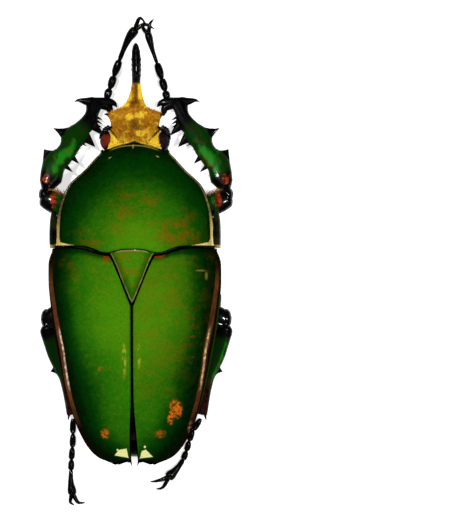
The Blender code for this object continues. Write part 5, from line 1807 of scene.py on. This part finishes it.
class BEETLE_OT_legs(bpy.types.Operator):
    """Makes the hips, thighs, toothed shins and jointed feet with their claws, fringes and bristles."""

    bl_idname = "beetle.legs"
    bl_label = "Legs"

    def execute(self, context):
        self.leg, self.foot = leg_material(), chitin_material("foot_chitin", 0.2)
        self.fringe = hair_material("thigh_hair", colours().hair, 1.5)
        self.bristle = hair_material("foot_bristle", FOOT_HAIR, 1.0)
        for word, side in SIDES.items():
            for number, pair in enumerate(COXAE):
                shift = number + (RIGHT_SEED if side > 0 else 0)
                self.coxa(pair, word, side)
                self.femur(pair, word, side, shift)
                self.tibia(pair, word, side, shift)
                self.tarsus(pair, word, shift)
        return {"FINISHED"}

    def limb_marks(self, rings, shares, growth, **marks):
        """Marks of a limb, whose hair lies along it."""
        ahead = unit(np.gradient(rings.mean(1), axis=0))
        return hair_marks(rings, shares, growth, ahead[:, None], **marks)

    def rounded(self, shares, start, end):
        """Shrinks a limb to round its start and its end over a share of its length."""
        steps = (shares / max(start, 1e-6), (1 - shares) / max(end, 1e-6))
        ahead, behind = (np.sqrt(np.clip(1 - (1 - np.clip(step, 0, 1)) ** 2, 0.02, 1)) for step in steps)
        return ahead * behind

    def coxa(self, pair, word, side):
        """A hip in its socket."""
        centre, radii = COXAE[pair]
        shape = Shape().ball(mirrored(centre, side), radii, 40, 26)
        shape.build(f"{pair}_hip_{word}", self.leg, "leg", f"{pair}_coxa_{word}")

    def femur(self, pair, word, side, shift):
        """A flattened thigh with a hair fringe on its front edge and red by the knee."""
        path, table = FEMORA[pair]
        path = mirrored(path, side)
        rows, sides = 90, 44
        shares = even(rows)
        half, thick = read_table(table, shares).T * self.rounded(shares, 0.0, 0.07)
        rings = swept(path, shares, half, thick, sides, 2.2)
        turn = whole_turn(sides)
        _, _, level, upright = path_frame(path, shares)
        fore = np.sign(level[:, 1:2] + 1e-9) * np.sin(turn)[None]
        top = np.cos(turn)[None] * np.sign(upright[:, 2:3])
        last, red_share, green_share, pale_share = THIGH_MARKS[pair]
        growth = ease(0.82, 0.97, fore) * span(0.2, 0.35, last, last + 0.06, shares)[:, None]
        out = rings[..., 0] * side
        red = ease(0.3, 0.5, top) * bell(out - 14.85, 0.7) * bell(rings[..., 1] - 10.9, 1.5) * red_share
        # Green on the upper side of the thigh, short of the knee: partly metallic colour, partly painted
        # highlight
        green = ease(0.1, 0.6, top) * (1 - ease(14.6, 15.3, out)) * green_share
        wet = ease(0.8, 0.95, shares)[:, None] + 0 * top
        shape = Shape()
        shape.loft(rings, marks=self.limb_marks(rings, shares, growth, red=red, green=green,
                                                pale=growth * pale_share, wet=wet))
        if pair in KNEES:
            centre, radii = KNEES[pair]
            shape.ball(mirrored(centre, side), radii, 36, 24, {"wet": 1.0})
        skin = shape.build(f"{pair}_thigh_{word}", self.leg, "leg", f"{pair}_femur_{word}")
        hair = self.fringe if pair == "front" else self.bristle
        grow_hair(f"{pair}_thigh_hair_{word}", skin, hair, "thigh", sizes().fringe, shift)

    def tibia(self, pair, word, side, shift):
        """A flattened shin whose outline runs out into its teeth."""
        path, table = TIBIAE[pair]
        path = mirrored(path, side)
        rows, sides = 360, 56
        shares = even(rows)
        half, thick = read_table(table, shares).T * self.rounded(shares, 0.06, 0.0)
        place, ahead, level, _ = path_frame(path, shares)
        axis = path[-1] - path[0]
        length = np.linalg.norm(axis)
        axis = axis / length
        outward = unit(np.array([axis[1], -axis[0], 0.0]))
        outward = outward if outward[0] * side > 0 else -outward
        offset = (place - path[0]) @ outward
        along = (place - path[0]) @ axis
        outer, inner = self.shin_outline(pair, half, offset, along, length)
        across = np.sin(np.linspace(-math.pi / 2, math.pi / 2, sides // 2 + 1))
        across = np.concatenate([across, across[-2:0:-1]])[None]
        over = np.concatenate([np.ones(sides // 2 + 1), -np.ones(sides // 2 - 1)])[None]
        reach = np.where(across > 0, outer[:, None], inner[:, None])
        slide = across * reach
        inset = np.minimum(1, np.abs(slide) / np.minimum(half[:, None], reach * 0.98))
        body = thick[:, None] * (1 - inset**SHIN_ROUNDNESS) ** (1 / SHIN_ROUNDNESS)
        plate = SHIN_BLADE * (1 - np.abs(across) ** 1.8)
        ridge = SHIN_RIDGE * bell(inset - 0.55, 0.12) * ease(0.06, 0.2, shares)[:, None]
        height = (body**3 + plate**3) ** (1 / 3) + ridge * (np.abs(across) < 0.95)
        turned = np.sign(level @ outward)[:, None]
        upright = np.cross(level, ahead)
        rings = (place[:, None] + level[:, None] * (turned * slide)[..., None]
                 + upright[:, None] * (over * height)[..., None])
        top = over * (1 - inset**4)
        marks = self.shin_colours(pair, side, rings, shares, half, slide, top)
        fringe = ease(0.9, 1.0, -across) * span(0.1, 0.3, 0.9, 0.97, shares)[:, None]
        marks = self.limb_marks(rings, shares, fringe * SHIN_MARKS[pair][1], **marks)
        shape = Shape().loft(rings, marks=marks)
        if pair == "front":
            self.shin_teeth(shape, path, side, axis * length, outward)
        for tip_reach, shift_on in TIBIA_SPURS.get(pair, ()):
            root = place[-12] + outward * math.copysign(half[-12] * 0.5, tip_reach)
            tip = place[-12] + outward * (tip_reach - offset[-12]) + axis * shift_on
            shape.spike(root, tip, 0.7, 0.55, 10, 0.8)
        skin = shape.build(f"{pair}_shin_{word}", self.leg, "leg", f"{pair}_tibia_{word}")
        grow_hair(f"{pair}_shin_hair_{word}", skin, self.bristle, "shin", sizes().bristle, shift)

    def shin_outline(self, pair, half, offset, along, length):
        """How far a shin reaches to its outer and to its inner side, with its outer teeth."""
        if pair == "front":
            edges = (np.array(edge).T for edge in (SHIN_OUTER, SHIN_INNER))
            outer, inner = (np.interp(along / length, *edge) for edge in edges)
            return outer - offset, offset - inner
        outer = half
        for share, tip_reach, width in TIBIA_TEETH[pair]:
            tip = share * length
            lead = np.where(along < tip, (tip - along) / (width * 0.4), (along - tip) / (width * 0.6))
            spare = tip_reach - offset - half
            outer = np.maximum(outer, half + np.maximum(spare, 0) * np.maximum(0, 1 - lead) ** 1.9)
        return outer, half

    def shin_teeth(self, shape, path, side, run, outward):
        """Inner teeth of a front shin, and the plate and the lobe at its end."""
        for root_share, share, tip_reach, width in SHIN_TEETH:
            centre = path_at(path, root_share)
            tip = path[0] + run * share + outward * tip_reach
            inward = outward * (tip_reach - (centre - path[0]) @ outward) * 0.25
            shape.spike(centre + inward, (tip[0], tip[1], centre[2]), width * 1.25, 0.6, 12, 0.9)
        for end, table in ((SHIN_PLATE, SHIN_PLATE_SIZES), (SHIN_LOBE, SHIN_LOBE_SIZES)):
            shape.sweep(mirrored(end, side), 70, *read_table(table, even(70)).T, 24)

    def shin_colours(self, pair, side, rings, shares, half, slide, top):
        """Where a shin is green, partly painted highlight on its upper side, and red."""
        solid = 1 - ease(0.75, 1.0, np.abs(slide) / half[:, None])
        green = span(*SHIN_GREEN[pair], shares)[:, None] * ease(-0.1, 0.4, top) * ease(0.1, 0.7, solid)
        red_share = SHIN_MARKS[pair][0]
        if pair == "front":
            green = green * (0.35 + 0.65 * bell(slide + 0.2, 1.0) * (1 - ease(0.5, 0.68, shares))[:, None])
            red = bell(rings[..., 0] * side - 16.2, 0.7) * bell(rings[..., 1] - 14.8, 1.0) * red_share
        else:
            # On the mid and hind shins a brighter streak by the outer edge is painted as highlight on the
            # right legs only
            green = green * (0.25 + 0.7 * bell(slide - half[:, None] * 0.6, 0.3) * (side > 0))
            red = (ease(0.5, 0.68, shares)[:, None] + 0 * top) * red_share
        return {"green": green, "red": red}

    def tarsus(self, pair, word, shift):
        """A foot of five joints, each flared towards its end, with two hooked claws."""
        path, joints, claws = TARSI[pair, word]
        path = np.array(path)
        shape = Shape()
        ends = (0.0, *joints, 1.0)
        local = even(26)
        for start, end in zip(ends, ends[1:]):
            shares = start + (end - start) * local
            table, wide = FOOT_JOINT, FOOT_WIDTH[pair]
            if end == 1.0:
                table, wide = LAST_JOINT, LAST_WIDTH.get((pair, word), 1.0)
            radius = read_table(table, local)[:, 0] * wide
            rings = swept(path, shares, radius, radius * 0.88, 18)
            growth = ease(0.45, 0.8, local)[:, None] * np.ones((1, 18))
            shape.loft(rings, marks=self.limb_marks(rings, shares, growth))
        last = path[-1]
        heading = unit(last - path[-2])
        along = even(34)
        size = 0.46 * (1 - along**2) ** 0.7 + 0.03
        for bend, tip in claws:
            shape.sweep([last - heading * 0.5, np.array(bend), np.array(tip)], 34, size * 0.85, size, 14)
        for points, _, _ in shape.parts:
            points[:, 2] = np.maximum(points[:, 2], 0.0)
        skin = shape.build(f"{pair}_foot_{word}", self.foot, "foot", f"{pair}_tarsus_{word}")
        grow_hair(f"{pair}_foot_hair_{word}", skin, self.bristle, "foot", sizes().bristle, shift)


class BEETLE_PT_panel(bpy.types.Panel):
    """Lists the beetle's pieces with their sizes and colours."""

    bl_label = "Flower beetle"
    bl_idname = "BEETLE_PT_panel"
    bl_space_type = "VIEW_3D"
    bl_region_type = "UI"
    bl_category = "Beetle"

    def draw(self, context):
        layout = self.layout
        for operator in OPERATORS:
            layout.operator(operator.bl_idname)
        for group in (context.scene.beetle_sizes, context.scene.beetle_colours):
            for name in group.bl_rna.properties.keys():
                if name not in {"rna_type", "name"}:
                    layout.prop(group, name)


OPERATORS = (BEETLE_OT_stage, BEETLE_OT_pronotum, BEETLE_OT_scutellum, BEETLE_OT_elytra, BEETLE_OT_head,
             BEETLE_OT_eyes, BEETLE_OT_mouth, BEETLE_OT_trunk, BEETLE_OT_legs)
CLASSES = (BeetleColours, BeetleSizes, *OPERATORS, BEETLE_PT_panel)


def register():
    """Registers the classes and the scene's groups."""
    for cls in CLASSES:
        bpy.utils.register_class(cls)
    bpy.types.Scene.beetle_colours = bpy.props.PointerProperty(type=BeetleColours)
    bpy.types.Scene.beetle_sizes = bpy.props.PointerProperty(type=BeetleSizes)


def unregister():
    """Takes them away again."""
    del bpy.types.Scene.beetle_sizes
    del bpy.types.Scene.beetle_colours
    for cls in reversed(CLASSES):
        bpy.utils.unregister_class(cls)


def main():
    """Makes every piece."""
    register()
    bpy.ops.beetle.stage()
    bpy.ops.beetle.pronotum()
    bpy.ops.beetle.scutellum()
    bpy.ops.beetle.elytra()
    bpy.ops.beetle.head()
    bpy.ops.beetle.eyes()
    bpy.ops.beetle.mouth()
    bpy.ops.beetle.trunk()
    bpy.ops.beetle.legs()


if __name__ == "__main__":
    main()
